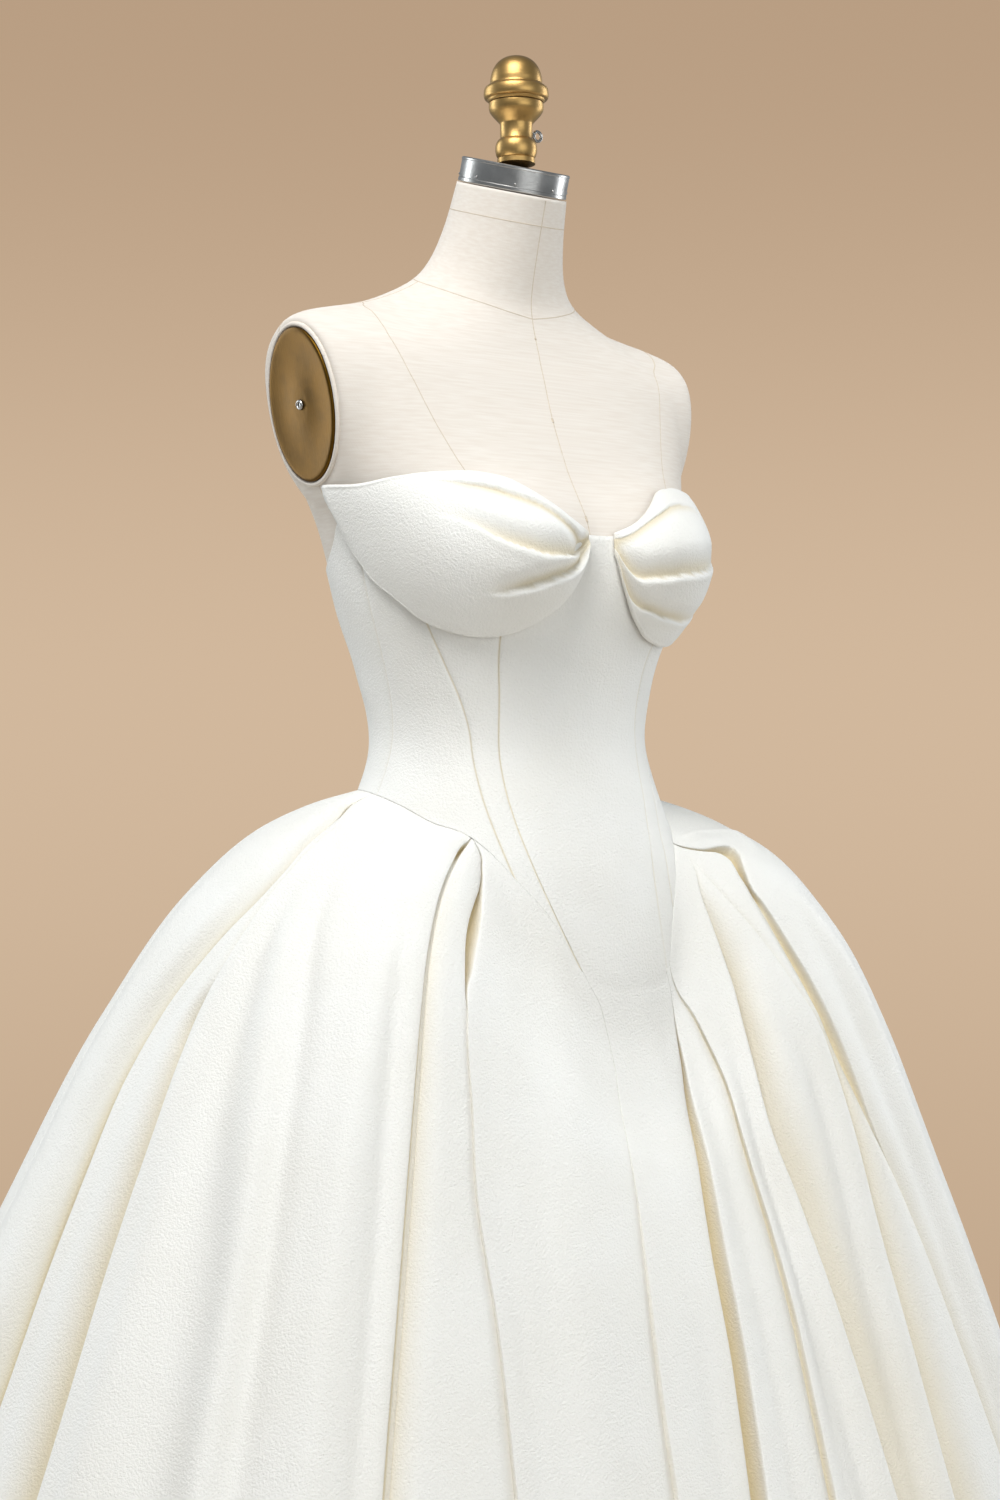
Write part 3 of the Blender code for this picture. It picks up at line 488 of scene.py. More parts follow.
def metal_material(name, first, second, smooth, rough, grain, clouds, metallic=1.0):
    """Metal: cloudy tarnish in colour and roughness, drawn-out grain in the bump."""
    material, tree, shader = new_material(name, smooth, metallic)
    face = use_group(tree, METAL, Grain=grain, Cloud_Scale=clouds)
    tree.links.new(coordinates(tree), face.inputs["Place"])
    colour_between(tree, shader, face.outputs["Marks"], 0.35, 0.65, first, second)
    roughness_between(tree, shader, face.outputs["Marks"], smooth, rough)
    bump(tree, shader, face.outputs["Height"], 0.25, 0.0003)
    return material


# colour of the painted shade: what a fully shaded fold multiplies the cloth's colour by
PAINTED_SHADE_TONE = (0.80, 0.67, 0.40)
print("a full fold shade multiplies the cloth's colour by", PAINTED_SHADE_TONE)

# %% The finishes
IVORY = satin_material("ivory satin crepe", (0.868, 0.842, 0.780), (0.884, 0.862, 0.808))
FORM_LINEN = linen_material("cream form linen", (0.75, 0.672, 0.585), (0.795, 0.73, 0.65), 0.3)
SEAM_LINEN = linen_material("linen seam thread", (0.60, 0.50, 0.385), (0.67, 0.57, 0.45), 0.25)
AGED_BRASS = metal_material("aged brass", (0.43, 0.26, 0.085), (0.54, 0.34, 0.125),
                            0.37, 0.42, (160.0, 160.0, 900.0), 14.0)
DARK_BRASS = metal_material("dark satin brass", (0.104, 0.051, 0.0055), (0.146, 0.072, 0.0090),
                            0.36, 0.46, (200.0, 700.0, 90.0), 45.0)
BRUSHED_STEEL = metal_material("brushed steel", (0.40, 0.385, 0.365), (0.52, 0.505, 0.48),
                               0.26, 0.34, (260.0, 260.0, 1500.0), 50.0)
BRIGHT_STEEL = metal_material("bright steel", (0.36, 0.35, 0.33), (0.50, 0.485, 0.46),
                              0.18, 0.32, (500.0, 500.0, 500.0), 300.0)
BLACK_IRON = metal_material("black enamelled iron", (0.018, 0.018, 0.018), (0.03, 0.029, 0.028),
                            0.28, 0.46, (300.0, 300.0, 300.0), 25.0, 0.0)
print("materials:", len(bpy.data.materials))

# %% [markdown]
# ## The linen form
# A form like this is usually a padded shell under a sewn linen cover.  Here it is one loft
# of the ovals above, fine enough to look round, closed at the hip and the neck, with a flat
# oval pressed into each side where the brass arm plate sits.  Where the gown covers it,
# it is a hair slimmer, so the two never touch through, and just under the cloth's top
# edge it fills out again, so that no dark gap shows there.

# %% The form's skin
ARM_CENTRE = (0.1847, 0.028, 1.345)
ARM_LEAN = 0.17           # metres outwards for each metre up
ARM_PLATE_HEIGHT = 0.123
ARM_PLATE_WIDTH = 0.088
ARM_PLATE_THICK = 0.0030
ARM_RIM = 0.004           # linen that is pressed flat round each plate

def flatten_armhole(points):
    """Inside an oval the side moves onto the plane x = x0 + lean (z - z0), softly outside."""
    x, y, z = points[..., 0], points[..., 1], points[..., 2]
    flat_x, flat_y, flat_z = ARM_CENTRE
    plane = flat_x + ARM_LEAN * (z - flat_z)
    across = (y - flat_y) / (0.5 * ARM_PLATE_WIDTH + ARM_RIM)
    rise = (z - flat_z) / (0.5 * ARM_PLATE_HEIGHT + ARM_RIM)
    flat = 1 - step(1.0, 1.35, np.sqrt(across ** 2 + rise ** 2))
    flat = flat * (np.abs(x) > 0.5 * flat_x)
    moved = np.abs(x) + (plane - np.abs(x)) * flat
    return np.stack([np.sign(x) * moved, y, z], -1)


# degrees from the centre front, height of the cloth's top edge
CLOTH_EDGE = (
    (0, 1.241), (16, 1.262), (28, 1.281), (57, 1.279), (73, 1.274), (86, 1.260), (94, 1.238),
    (104, 1.223), (120, 1.214), (150, 1.208), (180, 1.205),
)
# x of a shoulder ridge and how far it is raised
SHOULDER_RISES = ((-0.150, 0.0052), (0.153, -0.0050))
SHOULDER_WIDTH = 0.028


def uneven_shoulders(points):
    """z + the sum of rise x exp(-((x - x0) / width)^2), only high up on the shoulders."""
    aside = points[..., 0]
    change = sum(rise * np.exp(-((aside - at) / SHOULDER_WIDTH) ** 2)
                 for at, rise in SHOULDER_RISES)
    points = points.copy()
    points[..., 2] += change * step(1.365, 1.42, points[..., 2])
    return points


def form_skin(angle, level):
    """The form's own surface: slimmer under the cloth, padded out to meet its top edge."""
    height = np.interp(level, FINE_ROWS, FINE_HEIGHTS)
    slimmer = 0.0008 + 0.0022 * step(1.11, 1.16, height)
    slimmer = slimmer + 0.0020 * (1 - step(0.99, 1.03, height))
    slimmer = slimmer * (1 - step(1.25, 1.29, height))
    above = height - through(CLOTH_EDGE, 1, np.abs(np.degrees(angle)))
    near = step(-0.030, -0.012, above)
    padded = 0.0012 * near * (1 - step(0.005, 0.050, above))
    points = torso_points(angle, level, padded - slimmer * (1 - near))
    return flatten_armhole(uneven_shoulders(points))


print("top edge of the cloth from", CLOTH_EDGE[-1][1], "to", CLOTH_EDGE[2][1], "m")

# %% Form torso
def build_torso(columns=240):
    """Loft of 209 rows of columns, with a flat end at the hip and at the neck."""
    low = np.interp(np.linspace(TORSO[0][0], 1.285, 70), FINE_HEIGHTS, FINE_ROWS)
    levels = np.concatenate([low, np.linspace(low[-1], len(TORSO) - 1, 140)[1:]])[::-1]
    turns = np.linspace(-math.pi, math.pi, columns, endpoint=False)
    angle, level = np.meshgrid(turns, levels)
    grid = form_skin(angle, level)
    rows = len(levels)
    ends = np.stack([grid[0].mean(axis=0), grid[-1].mean(axis=0)])
    ring = np.arange(columns)
    after = np.roll(ring, -1)
    last = (rows - 1) * columns
    count = rows * columns
    top = np.stack([after, np.full(columns, count), ring], -1)
    foot = np.stack([last + ring, np.full(columns, count + 1), last + after], -1)
    faces = [grid_faces(rows, columns, around=True), top, foot]
    metres_a_radian = 0.16
    heights = np.interp(level, FINE_ROWS, FINE_HEIGHTS)
    uv = np.stack([np.abs(angle) * metres_a_radian, heights], -1).reshape(-1, 2)
    uv = np.concatenate([uv, [[0, 1.53], [0, 0.8]]])
    points = np.concatenate([grid.reshape(-1, 3), ends])
    piece = make_mesh("linen_form_torso", points, faces, uv)
    return finish_piece(piece, FORM_LINEN, stands_for=["form_torso"])


torso = build_torso()

# %% [markdown]
# ## Seams of the form
# The linen cover is sewn from shaped panels.  Each seam is a thin pressed ridge.  It could
# be painted on, but a real ridge catches the light, so it is a tube carried along a path
# on the skin and sunk so that only its crown shows.  The arm openings have a fine corded
# edge, and three short stitches tack the cover down in front.

# %% Tubes along a path
def tube_arrays(path, radius, sides=8, closed=False):
    """A round section carried along a path on two directions square to it."""
    path = np.asarray(path, float)
    if closed:
        ahead, behind = np.roll(path, -1, axis=0), np.roll(path, 1, axis=0)
    else:
        ahead = np.concatenate([path[1:], path[-1:]])
        behind = np.concatenate([path[:1], path[:-1]])
    along = ahead - behind
    along /= np.linalg.norm(along, axis=1, keepdims=True)
    helper = np.where(np.abs(along[:, 2:]) > 0.9, [[1.0, 0, 0]], [[0, 0, 1.0]])
    first = np.cross(along, helper)
    first /= np.linalg.norm(first, axis=1, keepdims=True)
    second = np.cross(along, first)
    turn = np.linspace(0, 2 * math.pi, sides, endpoint=False)
    ring = (np.cos(turn)[None, :, None] * first[:, None]
            + np.sin(turn)[None, :, None] * second[:, None])
    radius = np.broadcast_to(np.asarray(radius, float), (len(path),))
    points = (path[:, None] + radius[:, None, None] * ring).reshape(-1, 3)
    rows = len(path)
    if closed:
        index = np.arange(rows * sides).reshape(rows, sides)
        index = np.concatenate([index, index[:1]])
        a, b = index[:-1], index[1:]
        faces = [np.stack([a, np.roll(a, -1, 1), np.roll(b, -1, 1), b], -1).reshape(-1, 4)]
        return points, faces
    ring = np.arange(sides)
    last = (rows - 1) * sides
    faces = [grid_faces(rows, sides, around=True, flip=True), ring[None, :],
             (last + ring[::-1])[None, :]]
    return points, faces


def join_arrays(parts):
    """Several sets of points and faces as one."""
    points, face_sets, first = [], [], 0
    for part_points, part_faces in parts:
        points.append(part_points)
        face_sets += [faces + first for faces in part_faces]
        first += len(part_points)
    return np.concatenate(points), face_sets


def length_uv(points):
    """A plain UV for narrow pieces: distance round the body and height."""
    return np.stack([np.arctan2(points[:, 0], -points[:, 1]) * 0.1, points[:, 2]], -1)


print("tube helper ready")

# %% Form seams
# each seam is a row of (level, degrees): the level counts the rows of the body's table
FORM_SEAMS = {
    "princess": (
        (12.60, 98), (12.50, 87), (12.27, 71), (12.02, 62.2), (11.65, 53.8), (11.27, 46.4),
        (10.82, 40), (10.28, 36), (9.6, 33.2), (8.97, 32.3), (8.43, 32.2), (7.4, 32)),
    "shoulder": ((14.05, 96), (13.0, 97), (12.0, 97), (11.0, 97), (10.4, 96)),
    "side": ((8.25, 92), (7.6, 91), (7.0, 90)),
    "side back": ((13.0, 122), (12.2, 128), (11.0, 140), (9.5, 146), (8.0, 146), (6.6, 146)),
}
NECK_SEAMS = (
    ((13.20, 0), (13.44, 15), (13.70, 34), (13.96, 67), (14.06, 104), (14.1, 140), (14.1, 180)),
    ((16.38, 0), (16.38, 60), (16.38, 120), (16.38, 180)),
)
CENTRE_FRONT = ((16.95, 0), (14, 0), (11, 0), (8.8, -0.2), (7.15, -1.2), (6.9, -1.3))
CENTRE_BACK = ((16.95, 180), (13, 180), (9, 180), (6, 180))
TACKS = ((8.83, -0.2), (7.15, -1.2), (12.1, 0))
# radius of each kind of seam, in metres
PANEL_SEAM, NECK_SEAM, FRONT_SEAM, BACK_SEAM, TACK = 0.00045, 0.0005, 0.0005, 0.0006, 0.0011


def skin_path(rows, count=90, sink=0.00025):
    """Points on the form through (level, degrees) pairs, a little below the surface."""
    rows = np.asarray(rows, float)
    at = np.linspace(0, len(rows) - 1, count)
    numbered = [(number, *row) for number, row in enumerate(rows)]
    level = through(numbered, 1, at)
    degrees = through(numbered, 2, at)
    angle = np.radians(degrees)
    path = form_skin(angle, level)
    outward = path - torso_points(angle, level, -0.01)
    outward /= np.linalg.norm(outward, axis=1, keepdims=True)
    return path - outward * sink


def build_form_seams():
    """Seams of both sides, two seams round the neck, the two centre seams and the tacks."""
    parts = []
    for side in (-1, 1):
        paths = [(rows, PANEL_SEAM) for rows in FORM_SEAMS.values()]
        paths += [(rows, NECK_SEAM) for rows in NECK_SEAMS]
        for rows, radius in paths:
            handed = [(level, side * degrees) for level, degrees in rows]
            parts.append(tube_arrays(skin_path(handed), radius))
    parts.append(tube_arrays(skin_path(CENTRE_FRONT), FRONT_SEAM))
    parts.append(tube_arrays(skin_path(CENTRE_BACK), BACK_SEAM))
    for level, degrees in TACKS:
        stitch = [(level + 0.05, degrees), (level, degrees), (level - 0.03, degrees)]
        parts.append(tube_arrays(skin_path(stitch, 8), TACK))
    points, faces = join_arrays(parts)
    piece = make_mesh("form_seams", points, faces, length_uv(points))
    return finish_piece(piece, SEAM_LINEN)


build_form_seams()

# %% Armhole cords
CORD_RADIUS = 0.0019
CORD_CLEAR = 0.0022       # from the plate's edge to the middle of the cord
CORD_OUT = 0.0006         # how far its middle stands out of the armhole's plane


def arm_frame(side):
    """The plane of an armhole: its z axis points out of the form."""
    turn = Matrix.Rotation(side * (math.pi / 2 + math.atan(ARM_LEAN)), 4, "Y")
    centre = Vector((side * ARM_CENTRE[0], ARM_CENTRE[1], ARM_CENTRE[2]))
    return Matrix.Translation(centre) @ turn


def placed(points, matrix):
    """Points carried by a 4 x 4 matrix."""
    table = np.array(matrix)
    return points @ table[:3, :3].T + table[:3, 3]


def build_armhole_cords():
    """Corded oval edges: a tube on the ellipse just outside each plate."""
    turn = np.linspace(0, 2 * math.pi, 160, endpoint=False)
    tall, wide = 0.5 * ARM_PLATE_HEIGHT + CORD_CLEAR, 0.5 * ARM_PLATE_WIDTH + CORD_CLEAR
    oval = np.stack([tall * np.cos(turn), wide * np.sin(turn), 0 * turn + CORD_OUT], -1)
    parts = [tube_arrays(placed(oval, arm_frame(side)), CORD_RADIUS, 10, True)
             for side in (-1, 1)]
    points, faces = join_arrays(parts)
    piece = make_mesh("armhole_cords", points, faces, length_uv(points))
    return finish_piece(piece, FORM_LINEN)


build_armhole_cords()

# %% [markdown]
# ## Turned and stamped metal
# The brass knob was turned on a lathe, so it is made the same way here: one outline, spun
# round its axis.  A Screw modifier can do that too; as plain arrays the ends are closed
# and every row is known.  Sharp edges get two rows close together.  The same spin makes
# the neck band, the screws and the dished arm plates, which are then drawn oval.

# %% Lathe
def lathe(profile, segments=96):
    """Outline of (height, radius) from the top down, spun: x = r cos t, y = r sin t."""
    profile = np.asarray(profile, float)
    turn = np.linspace(0, 2 * math.pi, segments, endpoint=False)
    height, radius = profile[1:-1, 0], profile[1:-1, 1]
    ring = np.stack([radius[:, None] * np.cos(turn), radius[:, None] * np.sin(turn),
                     height[:, None] + 0 * turn], -1)
    rows = len(radius)
    count = rows * segments
    ends = np.array([[0, 0, profile[0, 0]], [0, 0, profile[-1, 0]]])
    start = np.arange(segments)
    after = np.roll(start, -1)
    last = (rows - 1) * segments
    faces = [grid_faces(rows, segments, around=True),
             np.stack([start, after, np.full(segments, count)], -1),
             np.stack([last + after, last + start, np.full(segments, count + 1)], -1)]
    return np.concatenate([ring.reshape(-1, 3), ends]), faces


def fair(rows, count):
    """A smooth outline of count points through a short table of (height, radius)."""
    numbered = [(number, *row) for number, row in enumerate(rows)]
    at = np.linspace(0, len(rows) - 1, count)
    return list(zip(through(numbered, 1, at), through(numbered, 2, at)))


def turned_piece(name, parts, material, body, nodes, sharp=35.0):
    """One mesh from several spun parts; edges above the sharp angle stay crisp."""
    points, faces = join_arrays(parts)
    piece = make_mesh(name, points, faces)
    piece.data.set_sharp_from_angle(angle=math.radians(sharp))
    return finish_piece(piece, material, body, nodes)


def moved(part, matrix):
    """Points and faces of a part, with the points carried by a matrix."""
    return placed(part[0], matrix), part[1]


print("lathe ready")

# %% The finial
FINIAL_Y = -0.0110
AXIS_FINIAL = Matrix.Translation((0, FINIAL_Y, 0))

# each table runs from the top down: height, radius
knob = [(1.6455, 0.0)]
knob += fair([(1.6455, 0.0004), (1.6452, 0.0050), (1.6432, 0.0110), (1.6392, 0.0162),
              (1.6335, 0.0197), (1.6270, 0.0214), (1.6232, 0.0217)], 26)
knob += fair([(1.6230, 0.0217), (1.6214, 0.0220), (1.6203, 0.0229), (1.6197, 0.0246)], 8)
knob += fair([(1.6196, 0.0250), (1.6184, 0.0262), (1.6160, 0.0269), (1.6128, 0.0270),
              (1.6104, 0.0264), (1.6093, 0.0252)], 14)
knob += [(1.6090, 0.0240), (1.6078, 0.0236), (1.6068, 0.0225), (1.6068, 0.0)]
turned_piece("brass_finial_knob", [moved(lathe(knob), AXIS_FINIAL)], AGED_BRASS, BODY,
             ["finial_knob"])

stem = [(1.6064, 0.0), (1.6064, 0.0220), (1.6058, 0.0227)]
stem += fair([(1.6050, 0.0228), (1.6015, 0.0227), (1.5985, 0.0216), (1.5945, 0.0184),
              (1.5912, 0.0152), (1.5895, 0.0138)], 16)
stem += [(1.5888, 0.0134), (1.5770, 0.0134), (1.5762, 0.0139)]
stem += fair([(1.5757, 0.0148), (1.5735, 0.0164), (1.5700, 0.0173), (1.5665, 0.0173),
              (1.5632, 0.0166), (1.5612, 0.0156)], 14)
stem += [(1.5605, 0.0150), (1.5598, 0.0157), (1.5560, 0.0158), (1.5560, 0.0)]
turned_piece("brass_finial_stem", [moved(lathe(stem), AXIS_FINIAL)], AGED_BRASS, BODY,
             ["finial_stem"])

# %% [markdown]
# ## The neck band
# A steel cap closes the slanting top of the neck, with a rolled rim and a ring of small
# rivets near its foot.  It is spun upright and then tilted with the neck, and one rivet
# is spun once and set eight times round it.

# %% The neck band
BAND_RADIUS = 0.0452
RIVET_HEIGHT = 0.0062
NECK_FRAME = (Matrix.Translation((0.0, -0.0050, 1.5350))
              @ Matrix.Rotation(math.radians(17.0), 4, "X"))


def neck_band_parts():
    """Spun outline of the cap, and the spun rivets turned to point outwards."""
    outline = [(0.0204, 0.0), (0.0204, 0.0400), (0.0207, 0.0430), (0.0206, 0.0445),
               (0.0198, 0.0455), (0.0186, 0.0456), (0.0182, 0.0452), (0.0040, 0.0452),
               (0.0036, 0.0456), (0.0012, 0.0456), (0.0005, 0.0450), (0.0004, 0.0)]
    parts = [moved(lathe(outline, 128), NECK_FRAME)]
    rivet = [(0.0008, 0.0)]
    rivet += fair([(0.0008, 0.0003), (0.0006, 0.0008), (0.0, 0.0011)], 5) + [(0.0, 0.0)]
    out = (Matrix.Translation((BAND_RADIUS, 0, RIVET_HEIGHT))
           @ Matrix.Rotation(math.radians(90), 4, "Y"))
    for degrees in range(10, 370, 45):
        spin = Matrix.Rotation(math.radians(degrees), 4, "Z")
        parts.append(moved(lathe(rivet, 14), NECK_FRAME @ spin @ out))
    return parts


turned_piece("steel_neck_band", neck_band_parts(), BRUSHED_STEEL, BODY, ["neck_band"], 30)

# %% [markdown]
# ## The thumb screw
# A small screw clamps the finial on its pole.  Fingers turn it by a ring of wire.  It is
# the one piece that moves, so it rides on a body of its own and turns about its axis.
# The thread is a row of alternating radii, which reads as a thread at this size.

# %% The thumb screw
SCREW_HEIGHT = 1.5825
SHANK_START, SHANK_END, SHANK_RADIUS = 0.0028, 0.0190, 0.0017
THREAD_DEPTH = 0.00016
RING_RADIUS, WIRE_RADIUS = 0.0040, 0.0013


def thumb_screw_parts():
    """A shank spun and laid along +X, and a tube round a circle at its outer end."""
    threads = np.linspace(SHANK_START, SHANK_END - 0.0030, 50)
    rows = [(threads[0], 0.0)]
    rows += [(x, SHANK_RADIUS - THREAD_DEPTH * (number % 2)) for number, x in enumerate(threads)]
    rows += [(SHANK_END - 0.0028, 0.0021), (SHANK_END - 0.0008, 0.0022),
             (SHANK_END + 0.0004, 0.0016), (SHANK_END + 0.0004, 0.0)]
    shank = lathe([(-height, size) for height, size in rows], 20)
    along_x = (Matrix.Translation((0, FINIAL_Y, SCREW_HEIGHT))
               @ Matrix.Rotation(math.radians(-90), 4, "Y"))
    turn = np.linspace(0, 2 * math.pi, 48, endpoint=False)
    middle = SHANK_END + RING_RADIUS - 0.3 * WIRE_RADIUS
    ring = np.stack([middle + RING_RADIUS * np.cos(turn), FINIAL_Y + 0 * turn,
                     SCREW_HEIGHT + RING_RADIUS * np.sin(turn)], -1)
    return [moved(shank, along_x), tube_arrays(ring, WIRE_RADIUS, 14, True)]


turned_piece("steel_thumb_screw", thumb_screw_parts(), BRIGHT_STEEL, "thumb_screw",
             ["thumb_screw"])

# %% [markdown]
# ## The arm plates
# Each armhole is closed with a stamped brass plate: a thin rolled rim, a shallow hollow
# and a flat seat for the screw in its middle.  A disc is spun with a diameter of one and
# then drawn out to an oval, because spinning is the simplest way to a clean dished form.

# %% Arm plates and their screws
SEAM_GAP = 0.0004         # the hair between two pieces that meet


def arm_plate_part(side):
    """The spun outline x (plate height, plate width, 1), carried to its armhole."""
    thick = ARM_PLATE_THICK
    outline = [(thick + 0.0001, 0.0), (thick + 0.0001, 0.05), (thick - 0.0001, 0.09)]
    outline += [(thick - 0.0009 * math.sin(math.pi * share), 0.09 + 0.37 * share)
                for share in np.linspace(0.04, 1, 18)]
    outline += [(thick + 0.0001, 0.478), (thick - 0.0003, 0.494), (thick - 0.0010, 0.5),
                (0.0006, 0.5), (0.0001, 0.494), (0.0, 0.0)]
    points, faces = lathe(outline, 128)
    points = points * np.array([ARM_PLATE_HEIGHT, ARM_PLATE_WIDTH, 1.0])
    return placed(points, arm_frame(side) @ Matrix.Translation((0, 0, SEAM_GAP))), faces


def arm_screw_part(side):
    """A low domed head with a round recess, spun and set on the plate's seat."""
    base = SEAM_GAP + ARM_PLATE_THICK + SEAM_GAP
    outline = [(0.0003, 0.0), (0.0003, 0.0021), (0.0015, 0.0024), (0.0018, 0.0028),
               (0.0018, 0.0032), (0.0013, 0.0038), (0.0005, 0.0042), (0.0, 0.0042), (0.0, 0.0)]
    points, faces = lathe(outline, 40)
    return placed(points, arm_frame(side) @ Matrix.Translation((0, 0, base))), faces


for side, label in ((-1, "right"), (1, "left")):
    turned_piece(f"brass_arm_plate_{label}", [arm_plate_part(side)], DARK_BRASS, BODY,
                 [f"arm_plate_{label}"], 50)
    turned_piece(f"steel_arm_screw_{label}", [arm_screw_part(side)], BRIGHT_STEEL, BODY,
                 [f"arm_screw_{label}"], 40)

# %% [markdown]
# ## The stand
# A pole on a weighted round base carries the form, hidden under the skirt.  The flange,
# pole and base are plain iron and steel, and their solids already have the right shape,
# so they stay as they are and only get their finish: each material slot is filled.

# %% Stand finishes
for node, material in (("stand_flange", BLACK_IRON), ("stand_pole", BRUSHED_STEEL),
                       ("stand_base", BLACK_IRON)):
    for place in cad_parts[node].material_slots:
        place.material = material
print("stand finished")

# %% [markdown]
# ## The bodice
# Each half of the bodice has four shaped panels, and a centre panel runs on into the
# skirt.  A maker drafts such panels flat and sews them to a body's shape.  Here they lie
# on the body from the start: seam tables give the angle of each seam at every height, and
# a panel is the grid between two of them.

# %% Seam tables
# angles in degrees from the centre front, positive to the wearer's left; heights in metres
WAIST_GAP = 0.0002
WAIST_SEAM = (
    (-180, 1.037), (-130, 1.037), (-92, 1.035), (-72, 1.025), (-58, 1.013), (-44, 1.003),
    (-35, 0.988), (-27, 0.968), (-17, 0.938), (-8, 0.895), (0, 0.880), (10, 0.880),
    (20, 0.889), (25, 0.921), (31, 0.951), (37, 0.972), (46, 0.994), (58, 1.011),
    (72, 1.025), (92, 1.035), (130, 1.037), (180, 1.037),
)
NECKLINE = (
    (0, 1.241), (4, 1.241), (10, 1.248), (16, 1.262), (21, 1.274), (28, 1.281),
    (40, 1.282), (57, 1.279), (73, 1.274), (86, 1.260), (94, 1.238), (104, 1.223),
    (120, 1.214), (150, 1.208), (180, 1.205),
)
SEAMS = {
    "princess_right": ((0.895, 8), (0.916, 11.5), (0.938, 15), (0.980, 22), (1.015, 28),
                       (1.042, 32), (1.063, 34), (1.122, 33), (1.162, 33), (1.282, 30)),
    "princess_left": ((0.889, 20), (0.916, 20), (0.948, 20.5), (0.980, 22), (1.015, 27),
                      (1.042, 31), (1.063, 33.5), (1.122, 33), (1.162, 33), (1.282, 30)),
    "side_front_right": ((0.966, 27), (0.997, 33), (1.016, 37), (1.037, 41), (1.063, 45),
                         (1.089, 47), (1.113, 50), (1.140, 55), (1.172, 61), (1.282, 68)),
    "side_front_left": ((0.945, 29), (0.966, 30), (0.997, 34), (1.037, 41), (1.063, 45),
                        (1.089, 47), (1.113, 50), (1.140, 55), (1.172, 61), (1.282, 68)),
    "side": ((1.030, 90), (1.074, 87), (1.104, 85), (1.214, 84), (1.280, 84)),
    "side_back": ((1.030, 132), (1.075, 130), (1.210, 124)),
}


def waist_height(angle):
    """Height of the waist seam at an angle."""
    return through(WAIST_SEAM, 1, np.degrees(angle))


def neckline_height(angle):
    """Height of the bodice's top edge, the same on both sides."""
    return through(NECKLINE, 1, np.abs(np.degrees(angle)))


def seam_angle(name, side, height):
    """Angle of a seam at a height; the centre back lies half way round."""
    if name == "back":
        return side * math.pi + 0.0 * height
    handed = f"{name}_{'left' if side > 0 else 'right'}"
    return side * np.radians(through(SEAMS.get(handed, SEAMS.get(name)), 1, height))


print("bodice seams:", ", ".join(SEAMS))

# %% [markdown]
# ## Between two seams
# Columns crowd towards the seams, where the cloth is pressed in by most of a millimetre
# and a little shade is painted into its colour, so every seam reads as a fine line.  A
# bump map could fake the dip, but a real dip also shows at the edge of the figure.

# %% A panel's grid, its pressed seams and drag lines
BODY_RADIUS = 0.11        # metres for each radian round the body
PRESS_DEPTH = 0.0008
PRESS_WIDTH = 0.0018
# half width of the painted shade beside a seam
SHADE_WIDTH = 0.0006
# how strongly the painted shade shows beside each seam; on the wearer's left half as strongly
SEAM_STRENGTH = {
    "princess": 0.62, "side_front": 0.55, "side": 0.15, "side_back": 0.3, "back": 0.3,
}


def crowded(count):
    """Shares from 0 to 1 whose steps shrink towards both ends: c - 0.9 sin(2 pi c) / 2 pi."""
    c = np.linspace(0, 1, count)
    return c - 0.9 * np.sin(2 * math.pi * c) / (2 * math.pi)


def bodice_grid(left, right, shares, downs, rounds=60, trim=0.0006):
    """Angle and height between two seams, settled in rounds because each needs the other."""
    across, down = np.meshgrid(shares, downs)
    height = 1.25 - 0.25 * down
    for _ in range(rounds):
        start = seam_angle(*left, height)
        end = seam_angle(*right, height)
        angle = start + (end - start) * across
        top = neckline_height(angle)
        height = 0.5 * height + 0.5 * (top + (waist_height(angle) - top) * down)
    angle = angle + trim * (1 - 2 * across)
    return angle, height + WAIST_GAP * step(0.97, 1.0, down), end - start


def pressed(edge_distance):
    """How far the cloth dips at a seam: depth x exp(-(distance / width)^2)."""
    return PRESS_DEPTH * np.exp(-(edge_distance / PRESS_WIDTH) ** 2)


def seam_shade(share, width, first, last):
    """Painted shade beside two seams: each strength x exp(-(distance / shade width)^2)."""
    painted_shade = 0.0
    for (name, side), away in ((first, share), (last, 1 - share)):
        strength = SEAM_STRENGTH[name] * (0.5 if side > 0 else 1.0)
        painted_shade = painted_shade + strength * np.exp(-(away * width / SHADE_WIDTH) ** 2)
    return painted_shade


def drag_lines(angle, height):
    """Faint slanting drags over a boned bodice: three slow waves under half a millimetre."""
    across = np.degrees(angle)
    wave = np.sin(0.21 * across + 60 * height) + 0.6 * np.sin(0.37 * across - 85 * height + 1.0)
    wave = wave + 0.5 * np.sin(0.13 * across + 130 * height + 2.0)
    return 0.00022 * wave


print("columns of a narrow panel at", np.round(crowded(7), 3))

# %% Bodice panels
BODICE_PANELS = (
    ("bodice_front", "princess", "side_front", 22),
    ("bodice_side_front", "side_front", "side", 38),
    ("bodice_side_back", "side", "side_back", 38),
    ("bodice_back", "side_back", "back", 44),
)
for side, label in ((-1, "right"), (1, "left")):
    for name, near, far, columns in BODICE_PANELS:
        pair = [(near, side), (far, side)]
        if side < 0:
            pair.reverse()
        shares = crowded(columns)
        angle, height, span = bodice_grid(pair[0], pair[1], shares, crowded(100))
        width = span * BODY_RADIUS
        distance = np.minimum(shares, 1 - shares) * width
        lift = drag_lines(angle, height) - pressed(distance)
        grid = bodice_points(angle, height) + bodice_normals(angle, height) * lift[..., None]
        piece = cloth_wall(f"satin_{name}_{label}", grid, CLOTH, seam_shade(shares, width, *pair))
        finish_piece(piece, IVORY, stands_for=[f"{name}_{label}"])

# %% [markdown]
# ## The skirt without its folds
# A skirt cut this full stands out from the waist in a dome and then falls almost straight.
# Two curves say how it springs out and how it falls, one for its sides and one for its
# front.  The hem is a rounded square in front and an oval behind, where the skirt trails.
# A cloth simulation could hang it, but would not put the folds where they are sewn in, so
# the smooth surface comes first and the folds are sunk into it afterwards.

